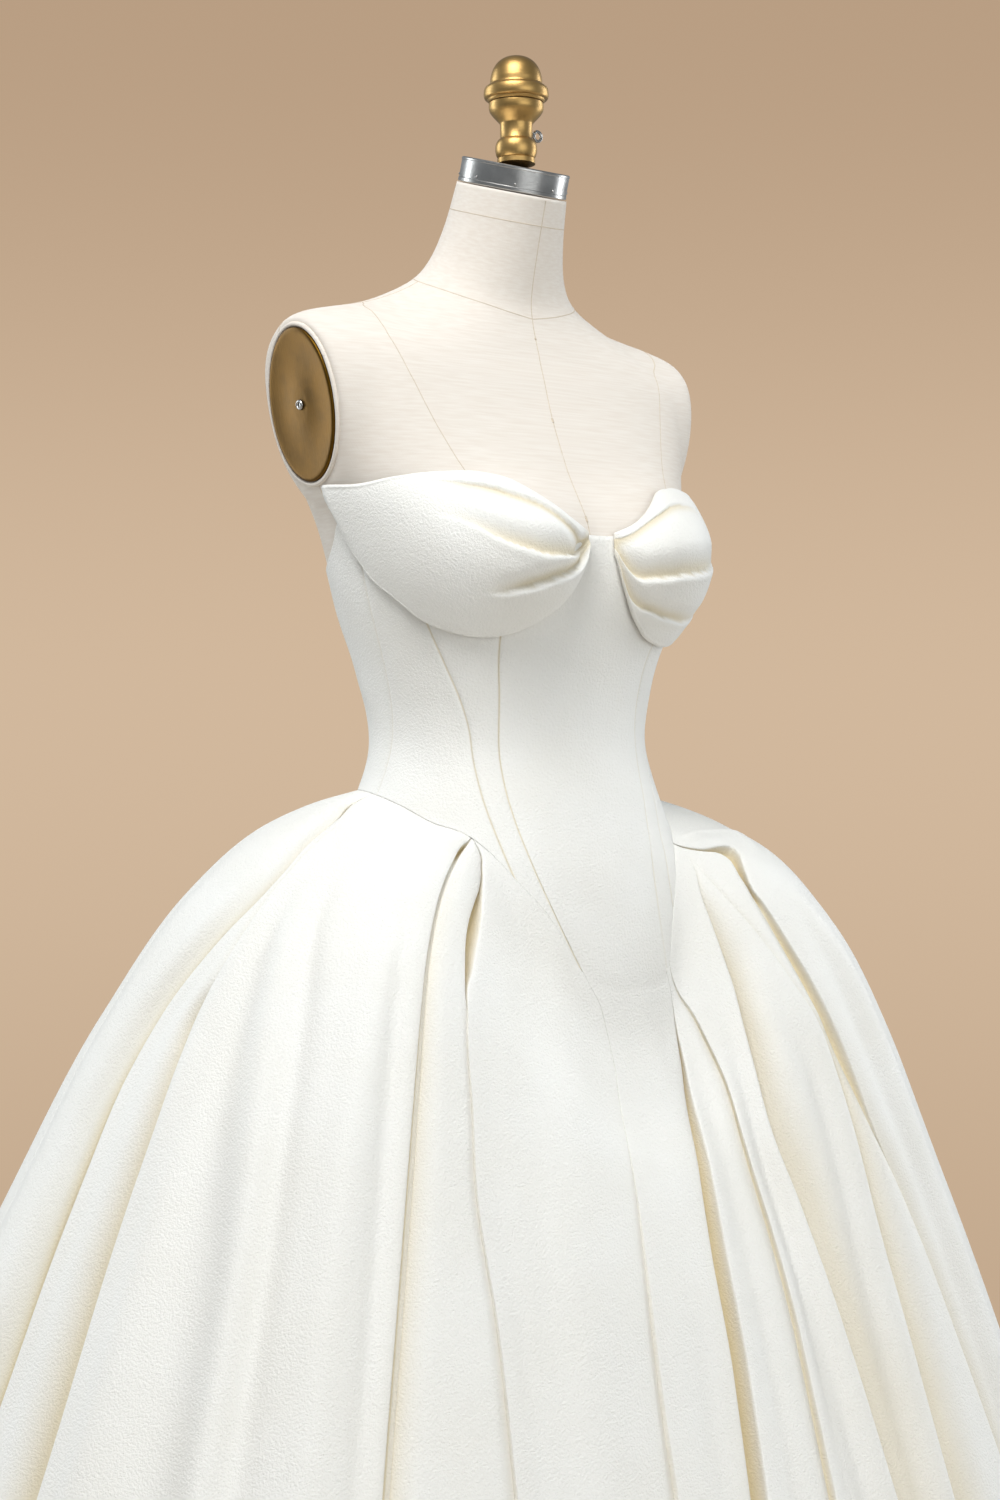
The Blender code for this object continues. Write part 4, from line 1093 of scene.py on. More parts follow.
# %% Skirt surface
HEM_HEIGHT = 0.008
HEM_HALF_WIDTH = 0.730
HEM_FRONT = 0.520
HEM_BACK = 0.670
HEM_CENTRE_Y = 0.100
HEM_SQUARE = 2.6
# share of the way down, then shares of the way out and down at the side, and in front
SKIRT_PROFILE = (
    (0.00, 0.000, 0.000, 0.000, 0.000),
    (0.03, 0.060, 0.011, 0.020, 0.044),
    (0.06, 0.115, 0.027, 0.068, 0.086),
    (0.13, 0.215, 0.083, 0.188, 0.158),
    (0.22, 0.315, 0.178, 0.300, 0.246),
    (0.35, 0.430, 0.315, 0.425, 0.375),
    (0.60, 0.640, 0.590, 0.650, 0.620),
    (1.00, 1.000, 1.000, 1.000, 1.000),
)
BILLOW = {
    "angle": 64.0, "spread": 28.0,
    "reach": ((0.0, 0.0), (0.05, 22.0), (0.13, 34.0), (0.3, 35.0), (0.5, 31.0), (1.0, 20.0)),
}


def skirt_base(angle, way):
    """Waist point plus shares of the way out and down to the hem, and a billow to one side."""
    waist = bodice_points(angle, waist_height(angle))
    sine, cosine = np.abs(np.sin(angle)), np.cos(angle)
    front = step(-0.3, 0.3, cosine)
    square = 2 + (HEM_SQUARE - 2) * front
    reach = HEM_BACK + (HEM_FRONT - HEM_BACK) * front
    outline = (sine / HEM_HALF_WIDTH) ** square + (np.abs(cosine) / reach) ** square
    radius = outline ** (-1 / square)
    side = step(math.radians(20), math.radians(52), np.abs(angle))
    out_side, down_side, out_front, down_front = [
        through(SKIRT_PROFILE, column, way) for column in (1, 2, 3, 4)
    ]
    out = out_front + (out_side - out_front) * side
    down = down_front + (down_side - down_front) * side
    near = np.exp(-(((np.degrees(angle) - BILLOW["angle"]) / BILLOW["spread"]) ** 2))
    billow = near * through(BILLOW["reach"], 1, way) * 0.001
    x = waist[..., 0] + (radius * np.sin(angle) - waist[..., 0]) * out + billow * np.sin(angle)
    y = waist[..., 1] + (HEM_CENTRE_Y - radius * cosine - waist[..., 1]) * out - billow * cosine
    z = waist[..., 2] + (HEM_HEIGHT - waist[..., 2]) * down
    return np.stack([x, y, z], -1)


def skirt_frame(angle, way, small=0.004):
    """Base point, metres for each radian sideways, and the outward normal.

    Away from the waist the normal is turned level, because there a fold sinks straight in
    towards the legs.
    """
    point = skirt_base(angle, way)
    across = (skirt_base(angle + small, way) - skirt_base(angle - small, way)) / (2 * small)
    upper, lower = np.clip(way - small, 0, 1), np.clip(way + small, 0, 1)
    along = (skirt_base(angle, lower) - skirt_base(angle, upper)) / (lower - upper)[..., None]
    normal = np.cross(along, across)
    normal[..., 2] *= 1 - step(0.10, 0.60, way)
    normal /= np.linalg.norm(normal, axis=-1, keepdims=True)
    return point, np.linalg.norm(across, axis=-1), normal


print("the hem is", 2 * HEM_HALF_WIDTH, "m wide")

# %% [markdown]
# ## The folds
# A deep fold in stiff satin has a crisp proud edge, a narrow opening, and on the other
# side a slope that comes up out of the fold.  Each fold is a table that follows it down:
# where its crisp edge runs, how wide it gapes, how deep the slot is, and how far the
# cloth on either side has sunk and over what width.  "Before" is the wearer's right of
# the slot and "after" the wearer's left.  Sculpting would be freer, but a table can be
# read, checked and changed, and its folds end exactly in the seams.

# %% A plain fold
def plain_fold(name, top, hem, crisp, sink):
    """A fold of the hidden sides and back: its two end angles, and its depth in mm.

    Everything grows down the fold: sink x share; the slot takes 0.3 of it, the low side
    most of it and the proud side next to nothing.
    """
    proud, low = (0.04, 0.75) if crisp else (0.45, 0.45)
    before, after = (low, proud) if crisp > 0 else (proud, low)
    rows = []
    for way, share, opening, slope in (
        (0.0, 0.0, 0.8, 14), (0.04, 0.25, 1.5, 24), (0.12, 0.55, 3, 42), (0.45, 0.85, 5, 76),
        (1.0, 1.0, 9, 110),
    ):
        at = top + (hem - top) * way
        part = share * sink
        rows.append((way, at, opening, 0.3 * part, before * part, slope, after * part, slope))
    # the trough behind a proud edge, and 0.38 as the strength of the painted shade beside the
    # fold
    return name, crisp, (30, 14, 3, 0.38), tuple(rows)


print("a plain fold has", len(plain_fold("sample", 0, 0, 1, 30)[3]), "stations")

# %% The folds, from the centre back round to the centre back
# Each fold: name; crisp edge (-1 before the slot, 1 after it, 0 in its middle); the trough
# behind a proud edge (distance, half width and depth in mm) and the strength of the painted
# shade beside the fold; then its stations.  A station: share of the way down, angle of the
# crisp edge in degrees, and in mm the opening, the depth of the slot, sink and slope
# before, and sink and slope after.
FOLDS = (
    plain_fold("back_seam_right", -180, -180, 0, 34),
    plain_fold("back_right_4", -160, -163, -1, 34),
    plain_fold("back_right_3", -142, -146, -1, 42),
    plain_fold("back_right_2", -125, -129, 1, 34),
    plain_fold("back_right_1", -112, -114, 0, 2),
    ("side_right", 1, (16, 8, 1.5, 1.0), (
        (0.000, -92.0, 0.8, 0, 0, 12, 0, 10), (0.012, -90.4, 4, 4, 1, 14, 0, 10),
        (0.037, -83.5, 6, 6, 1.5, 18, 0, 10), (0.055, -81.8, 6, 6, 2, 22, 0, 10),
        (0.070, -81.4, 9, 8, 2.5, 24, 0, 10), (0.090, -80.8, 8, 8, 3.0, 26, 0, 10),
        (0.117, -82.0, 8.5, 8, 4, 34, 0, 10), (0.154, -85.6, 10, 9, 4.5, 40, 0, 12),
        (0.197, -90.0, 11, 9, 5, 46, 0, 12), (0.244, -91.2, 12, 10, 5.5, 50, 0, 12),
        (0.312, -90.2, 14, 11, 6, 56, 0, 14), (0.460, -88.2, 16, 12, 7, 66, 0, 14),
        (1.000, -86.0, 18, 14, 12, 90, 1, 30))),
    ("dimple_right", 1, (20, 9, 3, 0.6), (
        (0.000, -87.0, 0.7, 0, 0, 8, 0, 8), (0.037, -80.2, 0.7, 0, 0, 8, 0, 8),
        (0.060, -79.4, 0.8, 1, 1, 8, 0, 8), (0.085, -79.0, 0.8, 1.5, 2, 8, 0, 8),
        (0.107, -79.6, 0.8, 1.5, 2, 10, 0, 8), (0.149, -80.0, 0.8, 1.5, 2, 12, 0, 8),
        (0.180, -80.9, 0.8, 2, 2.5, 14, 0, 8), (0.200, -81.3, 2.0, 4, 11, 18, 0, 8),
        (0.226, -80.8, 2.5, 4, 11, 24, 0, 8), (0.265, -80.0, 2.5, 4, 12, 30, 0, 10),
        (0.330, -79.6, 2.5, 4, 13, 36, 0, 10), (0.466, -78.0, 4, 6, 15, 46, 0, 12),
        (1.000, -76.0, 8, 8, 18, 70, 0, 20))),
    ("waist_right_outer", -1, (18, 8, 3.6, 0.45), (
        (0.000, -42.9, 0.8, 1, 0, 8, 0, 6), (0.010, -44.2, 2.5, 6, 0, 10, 1, 8),
        (0.038, -45.4, 3.6, 2.6, 0, 12, 2.5, 12), (0.066, -46.0, 4.0, 2.6, 0, 12, 3.5, 16),
        (0.117, -46.2, 4.6, 2.8, 0.5, 14, 4.5, 18), (0.165, -45.8, 5.2, 2.8, 1, 14, 5.5, 20),
        (0.235, -45.2, 6.4, 3.2, 1, 16, 6, 22), (0.333, -44.8, 6.8, 3.2, 1, 16, 6.5, 23),
        (0.454, -44.6, 7.0, 3.2, 1, 18, 7, 24), (1.000, -44.0, 9, 8, 1, 24, 10, 36))),
    ("waist_right_inner", 1, (20, 9, 1.6, 0.38), (
        (0.000, -42.2, 0.6, 0.5, 0, 4, 0, 6), (0.004, -39.8, 1, 3, 0.5, 6, 0, 8),
        (0.019, -37.7, 1.4, 5, 1, 10, 0, 10), (0.035, -37.2, 2.5, 8, 2, 12, 0, 10),
        (0.050, -37.0, 8, 10, 2, 14, 0, 12), (0.070, -37.2, 13, 13, 1.5, 14, 0, 12),
        (0.089, -37.7, 12.5, 14, 1, 14, 0, 12), (0.107, -38.1, 8.5, 12, 1, 12, 0, 12),
        (0.122, -38.7, 2.5, 7, 1, 12, 0, 12), (0.137, -38.5, 0.9, 1.6, 1.4, 12, 0, 12),
        (0.163, -38.0, 0.7, 0.8, 1.8, 12, 0, 12), (0.199, -36.8, 0.6, 0.6, 2.2, 12, 0, 12),
        (0.252, -35.8, 0.6, 0.6, 2.8, 14, 0, 12), (0.326, -33.0, 0.6, 0.6, 3.4, 15, 0, 12),
        (0.427, -30.8, 0.7, 0.8, 4, 17, 0, 14), (1.000, -26.0, 2, 3, 6, 40, 0, 30))),
    ("gore_right", 1, (24, 10, 0.6, 0.38), (
        (0.000, -7.85, 0.5, 0.3, 0, 10, 0, 10), (0.010, -4.0, 0.5, 0.3, 0.1, 10, 0, 10),
        (0.022, -2.6, 0.5, 0.3, 0.2, 10, 0, 10), (0.043, -2.0, 0.5, 0.3, 0.3, 12, 0, 10),
        (0.072, -3.2, 0.5, 0.3, 0.4, 13, 0, 10), (0.120, -5.0, 0.5, 0.3, 0.8, 14, 0, 10),
        (0.187, -6.4, 0.6, 0.4, 2.4, 15, 0, 10), (0.262, -7.4, 0.6, 0.5, 3.8, 16, 0, 12),
        (0.398, -8.0, 0.7, 0.7, 5, 18, 0, 14), (1.000, -9.0, 2, 3, 8, 50, 0, 40))),
    ("gore_left", 1, (38, 14, 6, 0.38), (
        (0.000, 20.15, 0.6, 0.6, 0, 8, 0, 6), (0.013, 20.7, 0.7, 0.8, 0, 8, 0, 6),
        (0.028, 20.5, 0.9, 2, 0.5, 10, 0, 8), (0.044, 19.6, 3, 6, 1, 12, 0, 8),
        (0.068, 17.6, 6, 9, 1.5, 14, 0, 10), (0.100, 15.2, 10, 12, 2, 16, 0, 12),
        (0.143, 12.4, 13, 13, 2, 18, 0, 12), (0.197, 10.2, 14.5, 14, 2, 20, 0, 14),
        (0.299, 8.2, 15, 15, 2, 22, 0, 14), (0.405, 6.2, 15.5, 16, 2, 24, 0, 16),
        (1.000, 3.0, 18, 26, 3, 50, 0, 30))),
    ("waist_left_inner", 1, (18, 9, 3, 0.38), (
        (0.000, 21.6, 0.6, 0, 0, 4, 0, 6), (0.007, 21.9, 0.7, 1, 0.3, 4, 0, 6),
        (0.028, 23.2, 2.0, 2, 1, 8, 0, 8), (0.048, 24.4, 2.8, 2.5, 2, 10, 0, 8),
        (0.062, 24.6, 3.0, 2.6, 3, 12, 0, 8), (0.095, 24.0, 3.2, 2.8, 3.5, 14, 0, 10),
        (0.124, 22.4, 3.2, 2.8, 4, 15, 0, 10), (0.148, 21.5, 3.2, 2.8, 4, 16, 0, 10),
        (0.201, 20.6, 3.4, 3, 4, 18, 0, 12), (0.290, 19.6, 3.6, 3, 4, 20, 0, 12),
        (0.424, 17.8, 4, 3.2, 5, 24, 0, 14), (1.000, 14.0, 8, 8, 9, 50, 0, 30))),
    ("waist_left_mid", -1, (40, 15, 7, 0.36), (
        (0.000, 42.8, 0.6, 0, 0, 4, 0, 3), (0.015, 42.0, 0.7, 0.5, 0, 4, 0.5, 3),
        (0.025, 38.4, 1.2, 2, 0, 8, 3, 10), (0.042, 35.6, 2, 3, 0, 12, 8, 24),
        (0.057, 34.0, 2, 4, 0, 14, 11, 34), (0.077, 32.4, 2, 5, 0, 16, 14, 44),
        (0.095, 30.6, 2, 5, 0, 16, 16, 50), (0.118, 28.7, 2, 5, 0, 18, 17, 56),
        (0.142, 27.2, 2, 5, 0, 18, 18, 60), (0.220, 26.4, 2, 6, 0, 20, 19, 64),
        (0.312, 26.6, 2, 6, 0, 20, 20, 68), (0.470, 26.6, 3, 6, 0, 24, 24, 80),
        (1.000, 26.0, 6, 8, 0, 40, 32, 110))),
    ("dimple_left", -1, (32, 13, 5, 0.38), (
        (0.000, 44.0, 0.5, 0, 0, 3, 0, 2), (0.010, 43.6, 0.5, 0, 0, 3, 0, 2),
        (0.024, 41.6, 0.6, 0.5, 0, 5, 1, 4), (0.043, 40.4, 0.7, 0.6, 0, 6, 1.5, 6),
        (0.069, 39.9, 0.7, 0.6, 0, 8, 2, 8), (0.102, 39.7, 0.7, 0.6, 0, 8, 2, 8),
        (0.135, 39.7, 0.7, 0.8, 0, 8, 2.5, 7), (0.155, 40.0, 0.8, 1, 0, 8, 4, 6),
        (0.170, 40.0, 1.4, 3, 0, 8, 8, 9), (0.199, 39.4, 3.0, 4.5, 0, 10, 12, 20),
        (0.240, 38.4, 3.2, 5, 0, 12, 14, 26), (0.294, 37.2, 3.2, 5, 0, 14, 15, 34),
        (0.388, 36.0, 3.2, 5, 0, 18, 17, 44), (0.514, 34.6, 3.6, 6, 0, 20, 20, 56),
        (1.000, 32.0, 6, 8, 0, 34, 28, 80))),
    ("waist_left_outer", 1, (26, 10, 3, 0.38), (
        (0.000, 45.4, 0.8, 2, 0, 3, 0, 6), (0.003, 45.6, 1.2, 4, 0, 3, 0, 6),
        (0.015, 46.6, 2.2, 5, 0, 4, 0, 10), (0.024, 48.0, 2.6, 6, 1, 5, 0, 10),
        (0.032, 51.0, 8, 8, 2, 6, 0, 10), (0.041, 53.0, 16, 10, 3, 8, 0, 10),
        (0.050, 48.4, 10, 10, 3, 9, 0, 10), (0.060, 45.4, 3.6, 8, 3, 10, 0, 10),
        (0.076, 44.2, 4.0, 3.4, 5, 12, 0, 10), (0.094, 43.5, 5.0, 3.6, 6, 13, 0, 10),
        (0.120, 42.9, 5.6, 4, 7, 14, 0, 10), (0.145, 42.6, 6.4, 4, 7.5, 14, 0, 10),
        (0.165, 42.5, 7.0, 4, 7.5, 12, 0, 10), (0.190, 42.4, 7.0, 4, 8, 14, 0, 12),
        (0.219, 42.2, 5.4, 4, 6, 16, 1, 14), (0.250, 42.1, 3.6, 4, 4, 18, 3, 20),
        (0.309, 43.0, 2.4, 5, 2, 18, 5, 28), (0.448, 44.6, 2.4, 5, 1, 24, 8, 40),
        (1.000, 46.0, 6, 8, 0, 40, 18, 90))),
    plain_fold("side_left_front", 68, 63, -1, 30),
    plain_fold("side_left", 92, 88, 1, 34),
    plain_fold("back_left_1", 109, 111, -1, 36),
    plain_fold("back_left_2", 127, 130, 1, 42),
    plain_fold("back_left_3", 145, 147, 1, 34),
    plain_fold("back_left_4", 162, 164, -1, 38),
    plain_fold("back_seam_left", 180, 180, 0, 34),
)
FOLD_NAMES = [fold[0] for fold in FOLDS]
print("folds:", len(FOLDS), "- stations:", sum(len(fold[3]) for fold in FOLDS))

# %% Soft troughs and ridges
# Troughs (+) and ridges (-).  Each is a few stations: share of the way down, angle in
# degrees, depth in mm and half width in mm.
SOFT = (
    ((0.06, -68.2, 0, 10), (0.12, -67.2, 4, 10), (0.176, -63.8, 5, 12), (0.289, -60.6, 6, 12),
     (0.465, -58.4, 8, 14), (1, -55, 8, 30)),
    ((0.10, -72, 0, 12), (0.17, -69.5, -4, 14), (0.25, -65.5, -5, 14), (0.345, -62.8, -6, 13),
     (0.465, -61.6, -7, 15), (1, -58.5, -7, 30)),
    ((0.10, -76, 0, 14), (0.166, -73.6, 5, 14), (0.222, -72, 6, 16), (0.368, -67.5, 8, 26),
     (0.466, -66, 9, 30), (1, -64, 10, 50)),
    ((0.10, -78, 0, 10), (0.20, -78.2, -4, 12), (0.34, -75.5, -6, 18), (0.466, -74, -7, 22),
     (1, -72, -7, 40)),
    ((0.10, -54, 0, 14), (0.22, -53.2, -5, 16), (0.45, -52, -6, 20), (1, -50, -6, 26)),
    ((0.08, -22, 0, 26), (0.25, -21, -4, 24), (0.45, -19, -6, 26), (1, -18, -8, 40)),
    ((0.15, 2, 0, 18), (0.30, 0.5, 4, 16), (0.60, -1, 5, 20), (1, -2, 5, 30)),
    ((0.004, 48, 0, 3), (0.012, 50.5, -4, 5), (0.028, 55.5, -6, 7), (0.042, 60, -5, 9),
     (0.06, 60, 0, 10)),
    ((0.08, 51.5, 0, 12), (0.14, 51, -4, 14), (0.25, 50.4, -6, 16), (0.45, 51.5, -6, 18),
     (1, 55, -6, 30)),
    ((0.02, 78, 0, 30), (0.20, 77, 6, 34), (0.45, 76, 8, 40), (1, 75, 10, 50)),
    ((0.02, -88, 0, 8), (0.06, -86.5, 3, 9), (0.117, -87, 4, 12), (0.20, -95, 5, 15),
     (0.45, -93.5, 9, 24), (1, -92, 10, 40)),
    ((0.05, -100, 0, 28), (0.20, -106, -5, 26), (0.45, -104, -7, 34), (1, -103, -8, 50)),
    ((0.04, -117, 0, 28), (0.20, -118, -5, 30), (0.45, -119, -7, 36), (1, -120, -9, 50)),
    ((0.03, -134, 0, 26), (0.20, -135, 5, 28), (0.45, -136, 8, 34), (1, -137, 9, 44)),
    ((0.08, -152, 0, 28), (0.25, -152, 4, 30), (0.45, -153, 6, 36), (1, -154, 8, 48)),
    ((0.04, -171, 0, 24), (0.20, -171, -4, 26), (0.45, -171, -6, 32), (1, -172, -8, 40)),
    ((0.05, 100, 0, 24), (0.20, 100, 4, 26), (0.45, 100, 7, 32), (1, 100, 9, 44)),
    ((0.03, 118, 0, 28), (0.20, 118, -5, 30), (0.45, 119, -7, 36), (1, 120, -8, 48)),
    ((0.04, 136, 0, 26), (0.20, 137, 5, 28), (0.45, 138, 8, 34), (1, 139, 9, 44)),
    ((0.08, 153, 0, 28), (0.25, 154, 4, 30), (0.45, 155, 6, 36), (1, 156, 8, 48)),
    ((0.03, 171, 0, 22), (0.20, 171, -4, 24), (0.45, 172, -7, 30), (1, 172, -8, 40)),
)
print("soft troughs and ridges:", len(SOFT))

# %% [markdown]
# ## From tables to relief
# The cloth is a row of stretches, each from the bottom of one slot to the bottom of the
# next.  Two things shape a stretch: what it does beside a fold, where it rises out of the
# slot or stands proud, and what it does inside, where it turns over the edge and bulges
# back.  Columns sit close together where the cloth turns and far apart where it is flat.

# %% Where each fold lies
def fold_line(number, way):
    """Angle of a fold's crisp edge at each share of the way down."""
    return np.radians(through(FOLDS[number][3], 1, way))


def fold_value(number, column, way):
    """One of a fold's sizes at each share of the way down, in metres."""
    return 0.001 * np.maximum(through(FOLDS[number][3], column, way), 0)


def fold_edges(number, way):
    """Angles of the two edges of a fold's opening, kept clear of its neighbours."""
    line, crisp = fold_line(number, way), FOLDS[number][1]
    scale = skirt_frame(line, way)[1]
    room = np.full_like(way, 1.0)
    for other in (number - 1, number + 1):
        if 0 <= other < len(FOLDS):
            room = np.minimum(room, np.abs(fold_line(other, way) - line) * scale)
    gap = np.minimum(fold_value(number, 2, way), 0.40 * room) / scale
    return line - 0.5 * (1 + crisp) * gap, line + 0.5 * (1 - crisp) * gap


at_hem = fold_line(FOLD_NAMES.index("waist_left_outer"), np.array([1.0]))
print("the outer fold on the left meets the hem at", np.degrees(at_hem).round(1), "degrees")

# %% The cloth beside a fold and inside it
EDGE_TURN = 0.0012        # how far an edge turns down before the slot's wall begins
EDGE_WIDTH = 0.0017
# the shade in the next three sizes is painted into the cloth's colour as a golden tone
FULL_SHADE = 0.009        # the sink at which the cloth beside a fold is fully shaded
WALL_SHADE = 0.006        # the height at which the wall of a slot is fully shaded
OPEN_SLOT = 0.005         # the depth at which a slot has its full edge and shade
BULGE = 0.0020            # the most that a wall bulges back under the cloth
ROLL = 0.001 * np.array([0.0, 0.35, 0.9, 1.7, 2.8, 4.4, 6.6, 9.5])
SLOT = np.array([0.50, 0.60, 0.72, 0.84, 0.93, 0.975])


def beside_fold(number, side, way, away, room):
    """Sink of the cloth at a distance from the fold's edge, and the strength of its painted
    shade.

    The cloth rises out of the fold as sink x (1 - distance / slope)^2, turns over its
    edge within two millimetres, and has a shallow trough behind a proud edge.
    """
    low = fold_value(number, 4 if side < 0 else 6, way)[:, None]
    slope = np.minimum(fold_value(number, 5 if side < 0 else 7, way), 1.1 * room)[:, None]
    depth = fold_value(number, 3, way)[:, None]
    away = np.clip(away, 0, None)
    rise = low * np.clip(1 - away / slope, 0, 1) ** 2
    edge = EDGE_TURN * np.exp(-away / EDGE_WIDTH) * step(0, OPEN_SLOT, depth)
    crisp, (distance, width, trough, shade) = FOLDS[number][1:3]
    distance = np.minimum(0.001 * distance, 0.45 * room)[:, None]
    grown = step(0.03, 0.22, way)[:, None] * (1.0 if crisp == side else 0.0)
    behind = 0.001 * trough * np.exp(-((away - distance) / (0.001 * width)) ** 2)
    return rise + edge + grown * behind, shade * np.clip(rise / FULL_SHADE, 0, 1)


def inside_fold(number, side, way):
    """Half of a slot, from its bottom to one edge: shares across, sinks and painted shade.

    The bottom lies the slot's depth below the lower edge.  The wall goes down with
    sin(pi x share)^0.6, steepest at the edge, and bulges back under the cloth.
    """
    shares = SLOT[None, :]
    before, after = fold_value(number, 4, way)[:, None], fold_value(number, 6, way)[:, None]
    depth = fold_value(number, 3, way)[:, None]
    here = before if side < 0 else after
    here = here + EDGE_TURN * step(0, OPEN_SLOT, depth)
    bottom = np.maximum(before, after) + depth
    wall = np.sin(np.pi * shares) ** 0.6
    under = np.minimum(0.12 * depth, BULGE) * np.sin(2 * np.pi * (shares - 0.5))
    sink = here + (bottom - here) * wall
    # painted shade on the slot's wall, fullest at the bottom of a deep, open slot
    painted_shade = np.clip((bottom - here) / WALL_SHADE, 0, 1) * np.clip(depth / OPEN_SLOT, 0, 1) * wall
    return shares - 0.5, under, sink, painted_shade


print("columns at an edge, in mm:", (1000 * ROLL).round(2))

# %% Troughs and slow waves
def soft_relief(angle, way, scale):
    """Sum of depth x exp(-(distance / half width)^2) over all soft troughs and ridges."""
    sink = np.zeros_like(angle)
    rows = way[:, 0]
    for stations in SOFT:
        centre, depth, width = [through(stations, column, rows)[:, None] for column in (1, 2, 3)]
        distance = (angle - np.radians(centre)) * scale
        sink = sink + 0.001 * depth * np.exp(-(distance / (0.001 * width)) ** 2)
    return sink


def slow_waves(angle, way):
    """Uneven hang of the cloth: long waves of about a millimetre."""
    degrees = np.degrees(angle)
    wave = np.sin(0.19 * degrees + 9 * way) + 0.7 * np.sin(0.31 * degrees - 14 * way + 1.3)
    wave = wave + 0.5 * np.sin(0.11 * degrees + 23 * way + 0.4)
    return 0.0008 * wave * step(0.02, 0.25, way)


print("slow waves ready, each under a millimetre")

# %% From folds to columns of cloth
TURNED_HEM = 0.0004       # how far the turned-up hem stands out


def stretch_of_cloth(number, way, spacing):
    """Angles, sinks and painted shade of all columns from one slot's bottom to the next one's."""
    (before, start), (end, after) = fold_edges(number, way), fold_edges(number + 1, way)
    scale = skirt_frame(0.5 * (start + end), way)[1]
    room = (end - start) * scale
    fit = np.minimum(1.0, 0.42 * room / ROLL[-1])[:, None]
    flat = room - 2 * fit[:, 0] * ROLL[-1]
    count = max(3, int(np.ceil(flat.max() / spacing)))
    shares = (np.arange(count) + 1) / (count + 1)
    away = np.concatenate([fit * ROLL, fit * ROLL[-1] + flat[:, None] * shares,
                           room[:, None] - fit * ROLL[::-1]], axis=1)
    near, near_painted_shade = beside_fold(number, 1, way, away, room)
    far, far_painted_shade = beside_fold(number + 1, -1, way, room[:, None] - away, room)
    angles, sinks = [start[:, None] + away / scale[:, None]], [near + far]
    painted_shades = [near_painted_shade + far_painted_shade]
    share, under, sink, painted_shade = inside_fold(number, 1, way)
    slot = (start - before)[:, None]
    angles.insert(0, before[:, None] + slot * (0.5 + share) + under / scale[:, None])
    sinks.insert(0, sink)
    painted_shades.insert(0, painted_shade)
    share, under, sink, painted_shade = inside_fold(number + 1, -1, way)
    slot = (after - end)[:, None]
    angles.append((after[:, None] - slot * (0.5 + share) - under / scale[:, None])[:, ::-1])
    sinks.append(sink[:, ::-1])
    painted_shades.append(painted_shade[:, ::-1])
    return [np.concatenate(parts, axis=1) for parts in (angles, sinks, painted_shades)]


def skirt_columns(first, last, way, spacing=0.0075):
    """Columns of a panel from one fold to another; neighbours share a slot's bottom."""
    stretches = [stretch_of_cloth(number, way, spacing) for number in range(first, last)]
    return [
        np.concatenate([part[:, 1 if k else 0:] for k, part in enumerate(parts)], axis=1)
        for parts in zip(*stretches)
    ]


def skirt_sheet(angle, sink, way):
    """Base point - normal x (sink of the folds + troughs + waves - the turned hem's edge)."""
    down = np.repeat(way[:, None], angle.shape[1], axis=1)
    point, scale, normal = skirt_frame(angle, down)
    sink = sink + soft_relief(angle, down, scale) + slow_waves(angle, down)
    hem = TURNED_HEM * step(0.955, 0.957, down)
    return point - normal * (sink - hem)[..., None]


def seam_trim(angle, way, margin=0.00006):
    """Draws the first and last column in by half a seam gap."""
    trimmed = angle.copy()
    for column, sign in ((0, 1), (-1, -1)):
        scale = skirt_frame(angle[:, column], way)[1]
        trimmed[:, column] += sign * margin / scale
    return trimmed


print("columns in the first stretch:", skirt_columns(0, 1, np.array([0.0, 1.0]))[0].shape[1])

# %% [markdown]
# ## The skirt's panels
# Four panels are sewn together in the slots of folds, where a maker hides the seams.
# Neighbours share the bottom of a slot, less a hair, so no light gets through.

# %% Skirt panels
WAY = np.linspace(0, 1, 150) ** 1.3
BACK_WAY = np.linspace(0, 1, 110) ** 1.3
SKIRT_PANELS = (
    ("skirt_back_right", "back_seam_right", "side_right", BACK_WAY, 0.011),
    ("skirt_front_right", "side_right", "gore_right", WAY, 0.0075),
    ("skirt_front_left", "gore_left", "side_left", WAY, 0.0080),
    ("skirt_back_left", "side_left", "back_seam_left", BACK_WAY, 0.011),
)
for name, first, last, way, spacing in SKIRT_PANELS:
    angle, sink, painted_shade = skirt_columns(
        FOLD_NAMES.index(first), FOLD_NAMES.index(last), way, spacing)
    grid = skirt_sheet(seam_trim(angle, way), sink, way)
    piece = cloth_wall(f"satin_{name}", grid, CLOTH, painted_shade)
    finish_piece(piece, IVORY, stands_for=[name])

# %% [markdown]
# ## The centre panel
# One long panel runs from the neckline between the drapes, down over the stomach and on
# to the hem, without a waist seam.  Two meshes would show a line where they meet, so it is
# one grid: its bodice rows lie on the body, its skirt rows hang in the same way as the
# other panels, and the two share the row where they meet.

# %% Centre panel
CENTRE_DIP = 0.00045      # a faint pressed line down the middle
CENTRE_DEGREES = 0.7      # and its half width


